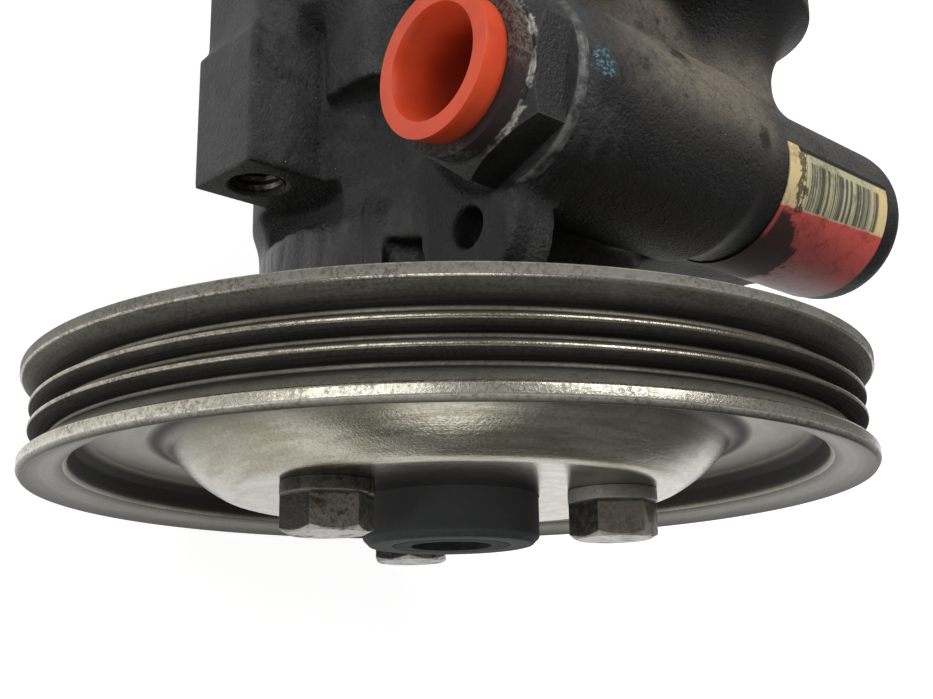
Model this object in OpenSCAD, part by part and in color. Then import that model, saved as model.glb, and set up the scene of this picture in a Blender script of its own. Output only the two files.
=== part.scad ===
// Belt-driven vane pump for power steering, with its pulley and flow control valve.
// The origin is on the shaft axis, in the plane of the two mounting ears' front faces.
// The pulley faces -Y, and the valve housing lies along X above the shaft. Sizes are in millimetres.

/* [Pulley] */
// Radius of the front flange
pulley_r = 71.6; // [66:0.1:80]
// How much further out the rear flange stands
rear_lip = 0.3; // [0:0.1:1]
// Width of the rim
pulley_w = 17.6; // [17:0.1:19.5]
// Distance from the front of the rim to the mounting ears' faces
pulley_reach = 46.1; // [45.5:0.1:52]
// Distance between grooves, from the poly-V belt standard
groove_pitch = 3.56; // [3.4:0.01:3.7]
// Depth of each groove below the ridges
groove_depth = 3; // [2:0.1:3.4]
// How far the ridges lie below the front flange
ridge_drop = 1.3; // [0.6:0.1:2]
// Thickness of the pressed web
web_t = 3.5; // [2.5:0.1:4.5]
// How far the web's face lies behind the front of the rim
web_set = 7.5; // [6.5:0.1:9]
// Radius where the centre dome starts
dome_r = 50; // [49:0.5:54]
// Radius of the dome's flat face
dome_flat_r = 37; // [36.8:0.1:38.5]
// How far the flat face stands out past the rim
dome_out = 1.2; // [0:0.1:2]

/* [Hub and shaft] */
// Radius of the hub's front boss
hub_r = 15.2; // [14.5:0.1:17]
// How far the hub stands out past the rim
hub_out = 9.4; // [8:0.1:11]
// Thickness of the hub's flange
hub_flange_t = 7.5; // [6:0.1:8.5]
// Radius of the drive shaft
shaft_r = 10; // [9.5:0.1:10.4]
// Radius of the puller thread in the shaft's end
puller_r = 4.25; // [3:0.05:5]
// Depth of the puller thread
puller_depth = 22; // [14:1:28]
// Radius of the circle of pulley bolts
bolt_circle_r = 28; // [27:0.5:29]
// Turn of the first bolt from straight up
bolt_turn = 34; // [0:1:119]
// Width across the flats of a bolt head
bolt_flats = 13; // [12:0.5:14]
// Height of a bolt head
bolt_head_h = 6; // [4.5:0.1:6.5]
// Thickness of a spring washer
washer_t = 2.2; // [1.5:0.1:2.5]

/* [Housing] */
// Radius of the nose behind the pulley
nose_r = 33.8; // [31:0.1:35.5]
// Length of the nose ahead of the ears' faces
nose_len = 24; // [20:0.5:26]
// Radius of the rear body around the rotating group
body_r = 41; // [39:0.5:45]
// Distance from the ears' faces to the rear end
body_len = 86; // [84:0.5:96]
// Distance between the two ear holes
ear_spacing = 82; // [78:0.5:90]
// Width of an ear
ear_w = 16.2; // [14:0.2:20]
// Radius of an ear's threaded hole
ear_hole_r = 4.25; // [3.3:0.05:5]
// Depth of an ear's threaded hole
ear_hole_depth = 20; // [14:1:22]
// Radius of the spot face around an ear's hole
spot_r = 14; // [12:0.5:15]
// Radius of the clip tab
tab_r = 10; // [8:0.5:11]
// Radius of the clip tab's hole
tab_hole_r = 3.05; // [2.5:0.05:4]
// Thickness of the clip tab
tab_t = 8; // [6:0.5:12]
// Radius of the rear column's threaded hole
rear_hole_r = 4.25; // [3.3:0.05:5]
// Depth of the rear column's threaded hole
rear_hole_depth = 20; // [12:1:24]

/* [Valve housing] */
// Height of the valve's axis above the shaft's axis
valve_z = 44.8; // [43:0.1:48]
// Distance from the ears' faces back to the valve's axis
valve_y = 3.6; // [2:0.1:6]
// Radius of the valve housing
valve_r = 16; // [15.5:0.1:18]
// Radius of the closed barrel under the label
barrel_r = 14.2; // [13.4:0.1:14.6]
// Radius of the barrel's rounded end
barrel_round = 6.5; // [3:0.5:8]
// Radius of the valve bore
bore_r = 8; // [7:0.1:8.5]
// Width across the flats of the outlet union
union_flats = 25.4; // [24:0.2:26]
// Length of the union's hexagon
union_hex_t = 6.5; // [5.5:0.5:8]
// Length of the round collar ahead of the hexagon
union_collar = 3; // [2:0.5:4.5]
// Radius of the hole in the union
union_hole_r = 8.2; // [7.6:0.1:8.6]
// Outer radius of the transport cap's rim
cap_r = 11; // [9.6:0.1:12]
// How far the cap stands out of the union
cap_out = 4.5; // [3:0.5:10]
// Wall of the cap's rim
cap_wall = 2.5; // [1.5:0.1:3]
// Angle that the label covers around the barrel
label_turn = 130; // [90:1:170]

/* [Rotating group] */
// Radius of the plates and the cam ring
plate_r = 32.7; // [31.5:0.1:34]
// Width of the rotor and the cam ring
rotor_w = 18; // [14:0.5:18.5]
// Radius of the rotor
rotor_r = 23.2; // [22:0.1:23.3]
// How far each half of the cam bore is moved off centre
cam_shift = 1.6; // [1:0.1:2]
// Thickness of a vane
vane_t = 1.9; // [1.5:0.1:2.5]
// Radius of the dowel pins
dowel_r = 2.5; // [2:0.1:2.7]

/* [Inlet] */
// Outer radius of the suction pipe
inlet_r = 9; // [7:0.5:10]
// How far the suction pipe stands out of its boss
inlet_len = 26; // [18:1:40]

/* [Hidden] */
$fn = 96;
// Clearances: running fit, close fit, free gap
run = 0.04;
close = 0.05;
free = 0.3;
// Pulley: positions along Y
rim_y = -pulley_reach;
rim_back_y = rim_y + pulley_w;
dome_y = rim_y - dome_out;
hub_face_y = dome_y + web_t;
hub_front_y = rim_y - hub_out;
crest_r = pulley_r - ridge_drop;
root_r = crest_r - groove_depth;
rim_in_r = root_r - 3.7;
mid_groove = pulley_w / 2 + 0.55;
groove_half = 0.28;
ridge_half = 0.28;
lip_w = 1.5;
hub_chamfer = 1.2;
hub_flange_r = bolt_circle_r + 8.5;
hub_sleeve_r = hub_r + 1.8;
hub_back_y = -nose_len + 1.5;
bolt_r = 3.95;
bolt_count = 3;
// How far each head came to rest past square when it was tightened
head_turns = [-12, 12, 0];
washer_turn = 26;
washer_split = 1;
// Rotating group: positions along Y
thrust_y = 30;
thrust_t = 7;
ring_y = thrust_y + thrust_t;
plate_y = ring_y + rotor_w;
plate_t = 9;
plate_gap = 8;
cover_y = plate_y + plate_t + plate_gap;
cover_t = 8;
clip_y = cover_y + cover_t;
clip_t = 2;
clip_land = 2.6;
clip_gap = 10;
cavity_r = plate_r + free;
rear_y = max(body_len, clip_y + clip_t + 2);
rear_body_r = max(body_r, cavity_r + 7);
cam_r = rotor_r + 0.4;
vane_count = 10;
slot_w = vane_t + 2 * close;
slot_in_r = 13.4;
vane_in_r = slot_in_r + 1.2;
spline_r = 8;
spline_tip_r = spline_r + 0.8;
spline_count = 12;
dowel_z = (plate_r + cam_r) / 2;
dowel_front = 4;
dowel_back = 6;
port_x = 21;
port_z = 13;
port_r = 3;
plate_spring_r = 18;
plate_wire = 1;
cover_lip = 2.5;
cover_groove_y = cover_y + cover_lip;
cover_groove_w = 3;
cover_ring_r = 1.15;
cover_rim = 9;
cover_dish = 2;
shaft_tail = 5;
shaft_back_y = plate_y + shaft_tail;
snap_t = 1.2;
snap_in_r = spline_r - 1;
snap_r = spline_tip_r + 1.4;
// Nose: bush and seal
bush_r = shaft_r + 2.5;
bush_len = 30;
bush_y = -nose_len + 12;
seal_r = shaft_r + 7.5;
seal_t = 8;
seal_y = -nose_len + 1.5;
seal_seat = seal_t + 2;
flare_r = nose_r + 1.4;
// Ears and faces
ear_x = ear_spacing / 2;
ear_out_x = ear_x + 7.1;
ear_floor = 3;
ear_rise = 23;
ear_h = max(ear_rise, ear_hole_depth + ear_floor);
flat_x = -30;
flat_z = 32;
bridge_low_y = -8;
bridge_high_y = 20;
pad_x = flat_x - 6.8;
pad_y = 12.5;
pad_z = 17.2;
pad_w = 13.4;
rib_x = ear_x + 3;
rib_z = 8;
rib_back_y = 12;
tab_y = valve_y - 18.8;
tab_z = valve_z - 7.3;
// Valve: positions along X
boss_x = -29;
boss_r = valve_r - 1.2;
boss_t = 2.4;
shoulder_x = 13;
barrel_x = shoulder_x + 4;
barrel_end_x = 61;
bore_end_x = 52;
union_seat_x = -11;
union_bore_r = bore_r + 2.3;
union_front_x = boss_x - union_hex_t - union_collar;
union_collar_r = union_flats / 2 - 0.5;
union_throat_r = 3.5;
spool_x = union_seat_x + free;
spool_len = 29;
spool_back_x = spool_x + spool_len;
spool_cup_r = 4.4;
waist_x = spool_x + 11;
waist_len = 6.5;
flow_wire = 0.8;
seat_depth = 8;
plug_t = 4;
cap_front_x = union_front_x - cap_out;
cap_plug_r = union_hole_r - 0.2;
cap_plug_len = 11;
label_x = barrel_x + 4.5;
label_len = barrel_end_x - barrel_round - 2.5 - label_x;
label_mid = 236;
label_t = 0.2;
// Rear column
column_x = 33;
column_z = 33;
column_y = valve_y + 2;
column_tail = 31;
column_end_y = thrust_y + column_tail;
neck_y = 27;
neck_r = 14;
column_r = 22;
foot_r = 18;
// Inlet
inlet_x = -8;
inlet_y = thrust_y + thrust_t + rotor_w / 2;
inlet_boss_z = rear_body_r + 6;
inlet_seat = 14;
inlet_wall = 1.8;
spigot_r = inlet_r - 0.6;
// Passages between the valve bore, the inlet and the pressure chamber
passage_r = 2.4;
passage_x = 10;
passage_z = valve_z - bore_r;
chamber_y = plate_y + plate_t + plate_gap / 2;

// Local Z runs along the shaft, towards the rear
module on_shaft(y = 0) {
    translate([0, y, 0]) rotate([-90, 0, 0]) children();
}

// Local Z runs along the valve's axis, away from the union
module on_valve(x = 0) {
    translate([x, valve_y, valve_z]) rotate([0, 90, 0]) children();
}

// Local Z runs along the shaft at one place beside it
module beside_shaft(x, y, z) {
    translate([x, y, z]) rotate([-90, 0, 0]) children();
}

module at_bolt(i) {
    rotate([0, bolt_turn + i * 360 / bolt_count, 0])
        translate([0, 0, bolt_circle_r])
            children();
}

module at_bolts() {
    for (i = [0:bolt_count - 1])
        at_bolt(i) children();
}

module ring(r_out, r_in, h) {
    difference() {
        cylinder(r = r_out, h = h);
        translate([0, 0, -1]) cylinder(r = r_in, h = h + 2);
    }
}

// Box given by its low and high corners
module box(low, high) {
    translate(low) cube(high - low);
}

// Round wire swept along a helix, with its first and last turns closed up
function coil_z(t, turns, h) =
    let (f = t / turns, e = min(0.9 / turns, 0.3))
    f < e ? 0.12 * h * f / e
    : f > 1 - e ? h - 0.12 * h * (1 - f) / e
    : 0.12 * h + 0.76 * h * (f - e) / (1 - 2 * e);

module coil_spring(r, wire, h, turns) {
    sides = 8;
    steps = round(14 * turns);
    span = h - 2 * wire;
    points = [
        for (i = [0:steps])
            let (t = turns * i / steps, a = 360 * t, z = wire + coil_z(t, turns, span))
            for (k = [0:sides - 1])
                let (b = 360 * k / sides, q = r + wire * cos(b))
                [q * cos(a), q * sin(a), z + wire * sin(b)]
    ];
    walls = [
        for (i = [0:steps - 1])
            for (k = [0:sides - 1])
                let (n = (k + 1) % sides)
                [i * sides + k, (i + 1) * sides + k, (i + 1) * sides + n, i * sides + n]
    ];
    first = [for (k = [0:sides - 1]) k];
    last = [for (k = [0:sides - 1]) steps * sides + sides - 1 - k];
    polyhedron(points = points, faces = concat(walls, [first, last]), convexity = 6);
}

// Housing: the outside of the casting
module nose_and_body() {
    on_shaft() rotate_extrude() polygon([
        [0, -nose_len], [nose_r - 1.5, -nose_len], [nose_r, -nose_len + 1.5], [nose_r, -5],
        [nose_r + 0.4, -2.5], [flare_r, 0], [flare_r, thrust_y - 5],
        [flare_r + 1, thrust_y - 3.6], [rear_body_r, thrust_y - 1], [rear_body_r, rear_y - 2],
        [rear_body_r - 2, rear_y], [0, rear_y]
    ]);
}

module ear(side) {
    half = ear_w / 2;
    inner = side * 18;
    outer = side * ear_out_x;
    upper = side * (ear_out_x - 1.2);
    box([min(inner, outer), 0, -half], [max(inner, outer), ear_h, half]);
    box([min(inner, upper), ear_h - 1, -half + 0.8], [max(inner, upper), ear_h + 20, half - 0.8]);
}

// Rounded upright block, so its edges are true cylinders
module pad_block() {
    edge = 2.5;
    top = 42;
    x_low = pad_x + edge;
    for (s = [-1, 1])
        beside_shaft(x_low, pad_y, pad_z + s * (pad_w / 2 - edge))
            cylinder(r = edge, h = top - pad_y);
    box([x_low, pad_y, pad_z - pad_w / 2], [-10, top, pad_z + pad_w / 2]);
    box([pad_x, pad_y, pad_z - pad_w / 2 + edge], [-10, top, pad_z + pad_w / 2 - edge]);
}

module valve_body() {
    on_valve() rotate_extrude() polygon([
        [0, boss_x], [boss_r - 0.6, boss_x], [boss_r, boss_x + 0.6], [boss_r, boss_x + boss_t],
        [valve_r - 0.4, boss_x + boss_t], [valve_r, boss_x + boss_t + 0.4], [valve_r, shoulder_x],
        [valve_r - 0.6, shoulder_x + 1.6], [barrel_r + 0.4, barrel_x - 1], [barrel_r, barrel_x],
        [0, barrel_x]
    ]);
    straight = barrel_end_x - barrel_round - barrel_x + 1;
    on_valve(barrel_x - 1) rotate_extrude() {
        square([barrel_r, straight]);
        square([barrel_r - barrel_round, straight + barrel_round]);
        translate([barrel_r - barrel_round, straight])
            intersection() {
                circle(r = barrel_round);
                square(barrel_round);
            }
    }
}

// Column from the valve housing to the rear, with a hollow neck turned into it
module rear_column() {
    beside_shaft(column_x, 0, column_z) rotate_extrude() difference() {
        union() {
            translate([0, column_y]) square([foot_r, neck_y - column_y]);
            translate([0, neck_y]) square([column_r, column_end_y - neck_y]);
        }
        translate([2 * neck_r, neck_y]) circle(r = neck_r);
    }
    box([0, neck_y - 4, 14], [column_x, column_end_y - 8, column_z + 8]);
}

module housing_outside() {
    nose_and_body();
    ear(-1);
    ear(1);
    pad_block();
    box([flat_x, bridge_low_y, 0], [barrel_x + 8, bridge_high_y, flat_z]);
    box([-18, valve_y, 20], [18, thrust_y + 4, passage_z + passage_r + 2]);
    // Rib that carries the barrel
    box([barrel_x, bridge_low_y, rib_z], [rib_x, rib_back_y, valve_z - barrel_r / 2]);
    valve_body();
    translate([flat_x, tab_y, tab_z]) rotate([0, 90, 0]) cylinder(r = tab_r, h = tab_t);
    box([flat_x, tab_y, tab_z - tab_r + 2], [flat_x + tab_t, valve_y, tab_z + 2]);
    rear_column();
    translate([inlet_x, inlet_y, 20]) cylinder(r = inlet_r + 4, h = inlet_boss_z - 20);
    rotate([0, -61.5, 0])
        box([-1.6, -nose_len + 3, nose_r - 6], [1.6, -5, nose_r + 1.2]);
}

module housing() {
    color("#2b2b2c") difference() {
        housing_outside();
        // Spot faces that machine the ears' front faces
        for (s = [-1, 1])
            beside_shaft(s * ear_x, -6, 0) cylinder(r = spot_r, h = 6);
        // Threaded holes
        for (s = [-1, 1])
            beside_shaft(s * ear_x, -1, 0) cylinder(r = ear_hole_r, h = ear_hole_depth + 1);
        beside_shaft(column_x, column_end_y - rear_hole_depth, column_z)
            cylinder(r = rear_hole_r, h = rear_hole_depth + 1);
        translate([flat_x - 1, tab_y, tab_z]) rotate([0, 90, 0])
            cylinder(r = tab_hole_r, h = tab_t + 2);
        // Seat for the union, cut into the flat beside it
        on_valve(boss_x - 12) cylinder(r = boss_r + 0.6, h = 12);
        on_valve(boss_x - 1) cylinder(r = union_bore_r, h = union_seat_x - boss_x + 1);
        on_valve(boss_x - 1) cylinder(r = bore_r, h = bore_end_x - boss_x + 1);
        // Nose: seal seat, bush bore and passage
        on_shaft(-nose_len - 1) cylinder(r = seal_r, h = seal_seat + 1);
        on_shaft(-nose_len) cylinder(r = bush_r, h = thrust_y + nose_len + 1);
        // Cavity for the rotating group, with the retaining ring's groove
        on_shaft(thrust_y) cylinder(r = cavity_r, h = rear_y - thrust_y + 1);
        on_shaft(clip_y) cylinder(r = cavity_r + 2.3, h = clip_t);
        // Suction and pressure passages
        translate([inlet_x, inlet_y, cam_r]) cylinder(r = spigot_r + close, h = inlet_boss_z);
        beside_shaft(inlet_x, valve_y, passage_z) cylinder(r = passage_r, h = inlet_y - valve_y);
        beside_shaft(passage_x, valve_y, passage_z)
            cylinder(r = passage_r, h = chamber_y + passage_r - valve_y);
        translate([passage_x, chamber_y, passage_z - 12]) cylinder(r = passage_r, h = 12);
    }
}

module front_bush() {
    color("#a9743c") on_shaft(bush_y) ring(bush_r - run, shaft_r + run, bush_len);
}

module shaft_seal() {
    color("#3a2a22") on_shaft(seal_y) difference() {
        cylinder(r = seal_r - close, h = seal_t);
        translate([0, 0, -1]) cylinder(r = shaft_r + run, h = seal_t + 2);
        translate([0, 0, 2]) ring(seal_r - 1.6, shaft_r + 2, seal_t);
    }
}

// Splined end of the shaft, grown by a clearance for the rotor's bore
module spline(grow, h) {
    cylinder(r = spline_r + grow, h = h);
    for (i = [0:spline_count - 1])
        rotate(i * 360 / spline_count)
            translate([0, -0.9 - grow, 0])
                cube([spline_tip_r + grow, 1.8 + 2 * grow, h]);
}

module drive_shaft() {
    shoulder = ring_y - 1;
    color("#6f7173") difference() {
        union() {
            on_shaft(hub_front_y) cylinder(r = shaft_r, h = shoulder - hub_front_y);
            on_shaft(shoulder) spline(0, shaft_back_y - shoulder);
        }
        on_shaft(hub_front_y - 1) cylinder(r = puller_r, h = puller_depth + 1);
        on_shaft(hub_front_y - 1) cylinder(r = 7, h = 3);
        on_shaft(plate_y + 0.6) ring(snap_r + 4, snap_in_r, snap_t + 0.1);
    }
}

module shaft_snap_ring() {
    color("#55585c") on_shaft(plate_y + 0.65) difference() {
        ring(snap_r, snap_in_r + close, snap_t);
        translate([-2, 0, -1]) cube([4, 20, 4]);
    }
}

module pulley_hub() {
    color("#26282a") difference() {
        on_shaft() rotate_extrude() polygon([
            [shaft_r + close, hub_front_y], [hub_r - hub_chamfer, hub_front_y],
            [hub_r, hub_front_y + hub_chamfer],
            [hub_r, hub_face_y], [hub_flange_r - 1, hub_face_y], [hub_flange_r, hub_face_y + 1],
            [hub_flange_r, hub_face_y + hub_flange_t], [hub_sleeve_r, hub_face_y + hub_flange_t],
            [hub_sleeve_r, hub_back_y - 3], [shaft_r + close, hub_back_y - 3]
        ]);
        at_bolts() on_shaft(hub_face_y - 1) cylinder(r = bolt_r + close, h = hub_flange_t + 2);
    }
}

// Curve from p to q that leaves and arrives along the lines through c
function bend(p, c, q, steps = 6) = [
    for (i = [0:steps])
        let (t = i / steps)
        (1 - t) * (1 - t) * p + 2 * t * (1 - t) * c + t * t * q
];

// Half-section of the pulley, from the front of the rim to the back
function groove(i) = mid_groove + (i - 1) * groove_pitch;
half_groove = groove_pitch / 2 - ridge_half;
dome_edge = [dome_flat_r, -dome_out];
dome_shoulder = dome_edge + [2.8, 0.7];
dome_flank = [dome_r - 2.2, web_set - 1.4];
dome_foot = [dome_r + 1.8, web_set];
dome_bulge = [0.6 * (dome_flank.x - dome_shoulder.x), 0.4 * (dome_flank.y - dome_shoulder.y)];

rim_section = [
    [pulley_r - 0.6, 0], [pulley_r, 0.9], [pulley_r, 0.9 + lip_w], [pulley_r - 0.3, 1.2 + lip_w],
    [root_r, groove(0) - groove_half], [root_r, groove(0) + groove_half],
    [crest_r, groove(0) + half_groove], [crest_r, groove(1) - half_groove],
    [root_r, groove(1) - groove_half], [root_r, groove(1) + groove_half],
    [crest_r, groove(1) + half_groove], [crest_r, groove(2) - half_groove],
    [root_r, groove(2) - groove_half], [root_r, groove(2) + groove_half],
    [pulley_r + rear_lip - 0.3, pulley_w - lip_w - 0.3], [pulley_r + rear_lip, pulley_w - lip_w],
    [pulley_r + rear_lip, pulley_w - 0.2], [pulley_r + rear_lip - 0.2, pulley_w],
    [rim_in_r + 2.6, pulley_w], [rim_in_r + 1.2, pulley_w - 0.6], [rim_in_r + 0.6, pulley_w - 1.6],
    [rim_in_r + 0.4, web_set + web_t + 1.5], [rim_in_r - 1.2, web_set + web_t],
    [dome_r + 0.6, web_set + web_t], [dome_r - 1.6, web_set + web_t - 1],
    [dome_flat_r + 2.4, web_t - dome_out + 0.9], [dome_flat_r, web_t - dome_out],
    [hub_r + close, web_t - dome_out], [hub_r + close, -dome_out]
];

// Front of the dome: flat face, round shoulder, bulging flank and hollow foot
dome_section = concat(
    bend(dome_edge, dome_edge + [1.6, 0], dome_shoulder, 4),
    [for (p = bend(dome_shoulder, dome_shoulder + dome_bulge, dome_flank)) if (p != dome_shoulder) p],
    [for (p = bend(dome_flank, [dome_r - 0.8, web_set], dome_foot, 5)) if (p != dome_flank) p]
);

dish_section = [
    [rim_in_r - 2.6, web_set], [rim_in_r - 1.2, web_set - 0.5], [rim_in_r - 0.4, web_set - 1.8],
    [rim_in_r, 3.8], [rim_in_r + 0.25, 2.8], [rim_in_r + 1, 2.1],
    [rim_in_r + 2.4, 1.6], [rim_in_r + 4.4, 1], [pulley_r - 1.2, 0.2]
];

module pulley() {
    color("#8d8a80") difference() {
        on_shaft(rim_y) rotate_extrude()
            polygon(concat(rim_section, dome_section, dish_section));
        at_bolts() on_shaft(dome_y - 1) cylinder(r = bolt_r + free, h = web_t + 2);
    }
}

module pulley_bolts() {
    color("#574a3c") for (i = [0:bolt_count - 1]) at_bolt(i) {
        head_y = dome_y - washer_t - bolt_head_h;
        on_shaft(head_y) intersection() {
            rotate(head_turns[i]) cylinder(d = bolt_flats / cos(30), h = bolt_head_h, $fn = 6);
            cylinder(r1 = bolt_flats / 2 - 0.3, r2 = bolt_flats / 2 + 13, h = bolt_head_h + 1.7);
        }
        on_shaft(head_y + bolt_head_h - 1)
            cylinder(r = bolt_r, h = 1 + washer_t + web_t + hub_flange_t - 0.5);
    }
}

module spring_washers() {
    color("#5a5046") at_bolts() on_shaft(dome_y - washer_t) difference() {
        ring(bolt_flats / 2 + 1, bolt_r + free, washer_t);
        rotate(washer_turn) translate([0, -washer_split / 2, -1])
            cube([bolt_flats, washer_split, washer_t + 2]);
    }
}

module dowel_holes() {
    for (s = [-1, 1])
        beside_shaft(0, ring_y - dowel_front, s * dowel_z)
            cylinder(r = dowel_r + close, h = dowel_front + rotor_w + dowel_back);
}

module thrust_plate() {
    color("#7b7d80") difference() {
        on_shaft(thrust_y) ring(plate_r, shaft_r + free, thrust_t);
        dowel_holes();
        for (s = [-1, 1])
            beside_shaft(s * port_x, ring_y - port_r, s * port_z)
                cylinder(r = port_r, h = port_r + 1);
    }
}

module cam_ring() {
    color("#86888a") difference() {
        on_shaft(ring_y) cylinder(r = plate_r, h = rotor_w);
        for (s = [-1, 1])
            beside_shaft(s * cam_shift, ring_y - 1, 0) cylinder(r = cam_r, h = rotor_w + 2);
        dowel_holes();
    }
}

module at_vanes() {
    for (i = [0:vane_count - 1])
        rotate((i + 0.5) * 360 / vane_count) children();
}

module rotor() {
    color("#8b8d90") on_shaft(ring_y + close) difference() {
        cylinder(r = rotor_r, h = rotor_w - 2 * close);
        translate([0, 0, -1]) spline(close, rotor_w + 2);
        at_vanes() {
            translate([slot_in_r, -slot_w / 2, -1]) cube([20, slot_w, rotor_w + 2]);
            translate([slot_in_r, 0, -1]) cylinder(r = slot_w / 2 + 0.3, h = rotor_w + 2);
        }
    }
}

module vanes() {
    tip = vane_t / 2;
    color("#9a9c9e") on_shaft(ring_y + 2 * close) at_vanes() {
        translate([vane_in_r, -tip, 0])
            cube([rotor_r - tip - vane_in_r, vane_t, rotor_w - 4 * close]);
        translate([rotor_r - tip, 0, 0]) cylinder(r = tip, h = rotor_w - 4 * close);
    }
}

module pressure_plate() {
    color("#7b7d80") difference() {
        on_shaft(plate_y) cylinder(r = plate_r, h = plate_t);
        on_shaft(plate_y - 1) cylinder(r = snap_r + 1, h = 7);
        dowel_holes();
        for (s = [-1, 1])
            beside_shaft(s * port_x, plate_y - 1, s * port_z) cylinder(r = port_r, h = plate_t + 2);
    }
}

module dowel_pins() {
    color("#a3a5a7") for (s = [-1, 1])
        beside_shaft(0, ring_y - dowel_front + free, s * dowel_z)
            cylinder(r = dowel_r, h = dowel_front + rotor_w + dowel_back - 2 * free);
}

module plate_spring() {
    gap = cover_y - plate_y - plate_t;
    color("#4d5054") on_shaft(plate_y + plate_t + close)
        coil_spring(plate_spring_r, plate_wire, gap - 2 * close, 3);
}

module end_cover() {
    color("#75787b") difference() {
        on_shaft(cover_y) cylinder(r = plate_r, h = cover_t);
        on_shaft(cover_groove_y) ring(plate_r + 2, plate_r - 2 * cover_ring_r - 0.1, cover_groove_w);
        on_shaft(clip_y - cover_dish) cylinder(r = plate_r - cover_rim, h = cover_dish + 1);
    }
}

module end_cover_o_ring() {
    color("#1b1b1c") on_shaft(cover_groove_y + cover_groove_w / 2)
        rotate_extrude() translate([plate_r - cover_ring_r, 0]) circle(r = cover_ring_r);
}

module retaining_ring() {
    color("#4a4d50") on_shaft(clip_y + close) difference() {
        ring(cavity_r + 2, cavity_r - clip_land, clip_t - 2 * close);
        translate([-clip_gap / 2, 0, -1]) cube([clip_gap, 2 * cavity_r, clip_t + 2]);
    }
}

module outlet_union() {
    across = union_flats / cos(30);
    color("#3a3836") difference() {
        union() {
            on_valve(union_front_x) cylinder(r = union_collar_r, h = union_collar + 1);
            on_valve(boss_x - union_hex_t) intersection() {
                rotate(38) cylinder(d = across, h = union_hex_t, $fn = 6);
                cylinder(r1 = union_flats / 2, r2 = union_flats / 2 + 20, h = union_hex_t + 7);
            }
            on_valve(boss_x - 0.5)
                cylinder(r = union_bore_r - close, h = union_seat_x - boss_x + 0.5);
        }
        on_valve(union_front_x - 1) cylinder(r = union_hole_r, h = 17);
        on_valve(union_front_x) cylinder(r = union_throat_r, h = union_seat_x - union_front_x + 1);
        on_valve(union_seat_x - 5) ring(union_bore_r + 2, union_bore_r - 1.8, 2.6);
    }
}

module union_o_ring() {
    color("#1b1b1c") on_valve(union_seat_x - 3.7)
        rotate_extrude() translate([union_bore_r - 0.92, 0]) circle(r = 0.85);
}

module flow_spool() {
    waist = bore_r - 1.8;
    color("#94969a") difference() {
        on_valve() rotate_extrude() polygon([
            [0, spool_x], [waist, spool_x], [waist, spool_x + 3], [bore_r - run, spool_x + 3],
            [bore_r - run, waist_x], [waist, waist_x + 0.5], [waist, waist_x + waist_len - 0.5],
            [bore_r - run, waist_x + waist_len], [bore_r - run, spool_back_x], [0, spool_back_x]
        ]);
        on_valve(spool_x + seat_depth) cylinder(r = spool_cup_r, h = spool_len);
        on_valve(spool_x - 1) cylinder(r = 1.2, h = spool_len);
        on_valve(waist_x + waist_len / 2)
            rotate([90, 0, 0]) cylinder(r = 1.2, h = 4 * bore_r, center = true);
    }
}

module flow_spring() {
    color("#5d6064") on_valve(spool_back_x + close)
        coil_spring(bore_r - 2, flow_wire, bore_end_x - spool_back_x - 2 * close, 6);
}

module relief_ball() {
    color("#b5b7b9") on_valve(spool_x + seat_depth + 2.82) sphere(r = 3);
}

module relief_spring() {
    start = seat_depth + 5.9;
    color("#5d6064") on_valve(spool_x + start)
        coil_spring(3, 0.5, spool_len - start - plug_t - close, 4);
}

module relief_plug() {
    color("#7d7f82") on_valve(spool_back_x - plug_t) ring(spool_cup_r - close, 1.5, plug_t);
}

module transport_cap() {
    inside_r = cap_r - cap_wall;
    plug_x = union_front_x + cap_plug_len;
    throat_r = min(inside_r, cap_plug_r) - 0.8;
    color("#e2492f") on_valve() rotate_extrude() polygon([
        [inside_r, cap_front_x], [cap_r, cap_front_x], [cap_r - 0.5, union_front_x - 0.1],
        [cap_plug_r, union_front_x - 0.1], [cap_plug_r, union_front_x + 1],
        [cap_plug_r - 0.6, plug_x], [0, plug_x], [0, plug_x - 1.5],
        [throat_r - 0.6, plug_x - 1.5], [throat_r, union_front_x + 0.5]
    ]);
}

module half_space() {
    translate([-2 * barrel_r, 0, -1]) cube([4 * barrel_r, 2 * barrel_r, label_len + 2]);
}

module label() {
    color("#d9cfa8") on_valve(label_x) difference() {
        ring(barrel_r + close + label_t, barrel_r + close, label_len);
        rotate(label_mid + label_turn / 2) half_space();
        rotate(label_mid - label_turn / 2) mirror([0, 1, 0]) half_space();
    }
}

module inlet_pipe() {
    start = inlet_boss_z - inlet_seat;
    total = inlet_seat + inlet_len;
    color("#77797b") translate([inlet_x, inlet_y, 0]) difference() {
        union() {
            translate([0, 0, start]) cylinder(r = spigot_r, h = inlet_seat + 1);
            translate([0, 0, inlet_boss_z]) cylinder(r = inlet_r, h = inlet_len - 1);
            translate([0, 0, inlet_boss_z + inlet_len - 1])
                cylinder(r1 = inlet_r, r2 = inlet_r - 0.6, h = 1);
        }
        translate([0, 0, start - 1]) cylinder(r = inlet_r - inlet_wall, h = total + 2);
    }
}

housing();
front_bush();
shaft_seal();
drive_shaft();
pulley_hub();
pulley();
pulley_bolts();
spring_washers();
thrust_plate();
cam_ring();
rotor();
vanes();
shaft_snap_ring();
pressure_plate();
dowel_pins();
plate_spring();
end_cover();
end_cover_o_ring();
retaining_ring();
outlet_union();
union_o_ring();
flow_spool();
flow_spring();
relief_ball();
relief_spring();
relief_plug();
transport_cap();
label();
inlet_pipe();
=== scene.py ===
import math

import bmesh
import bpy
import numpy as np
from mathutils import Matrix


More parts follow.
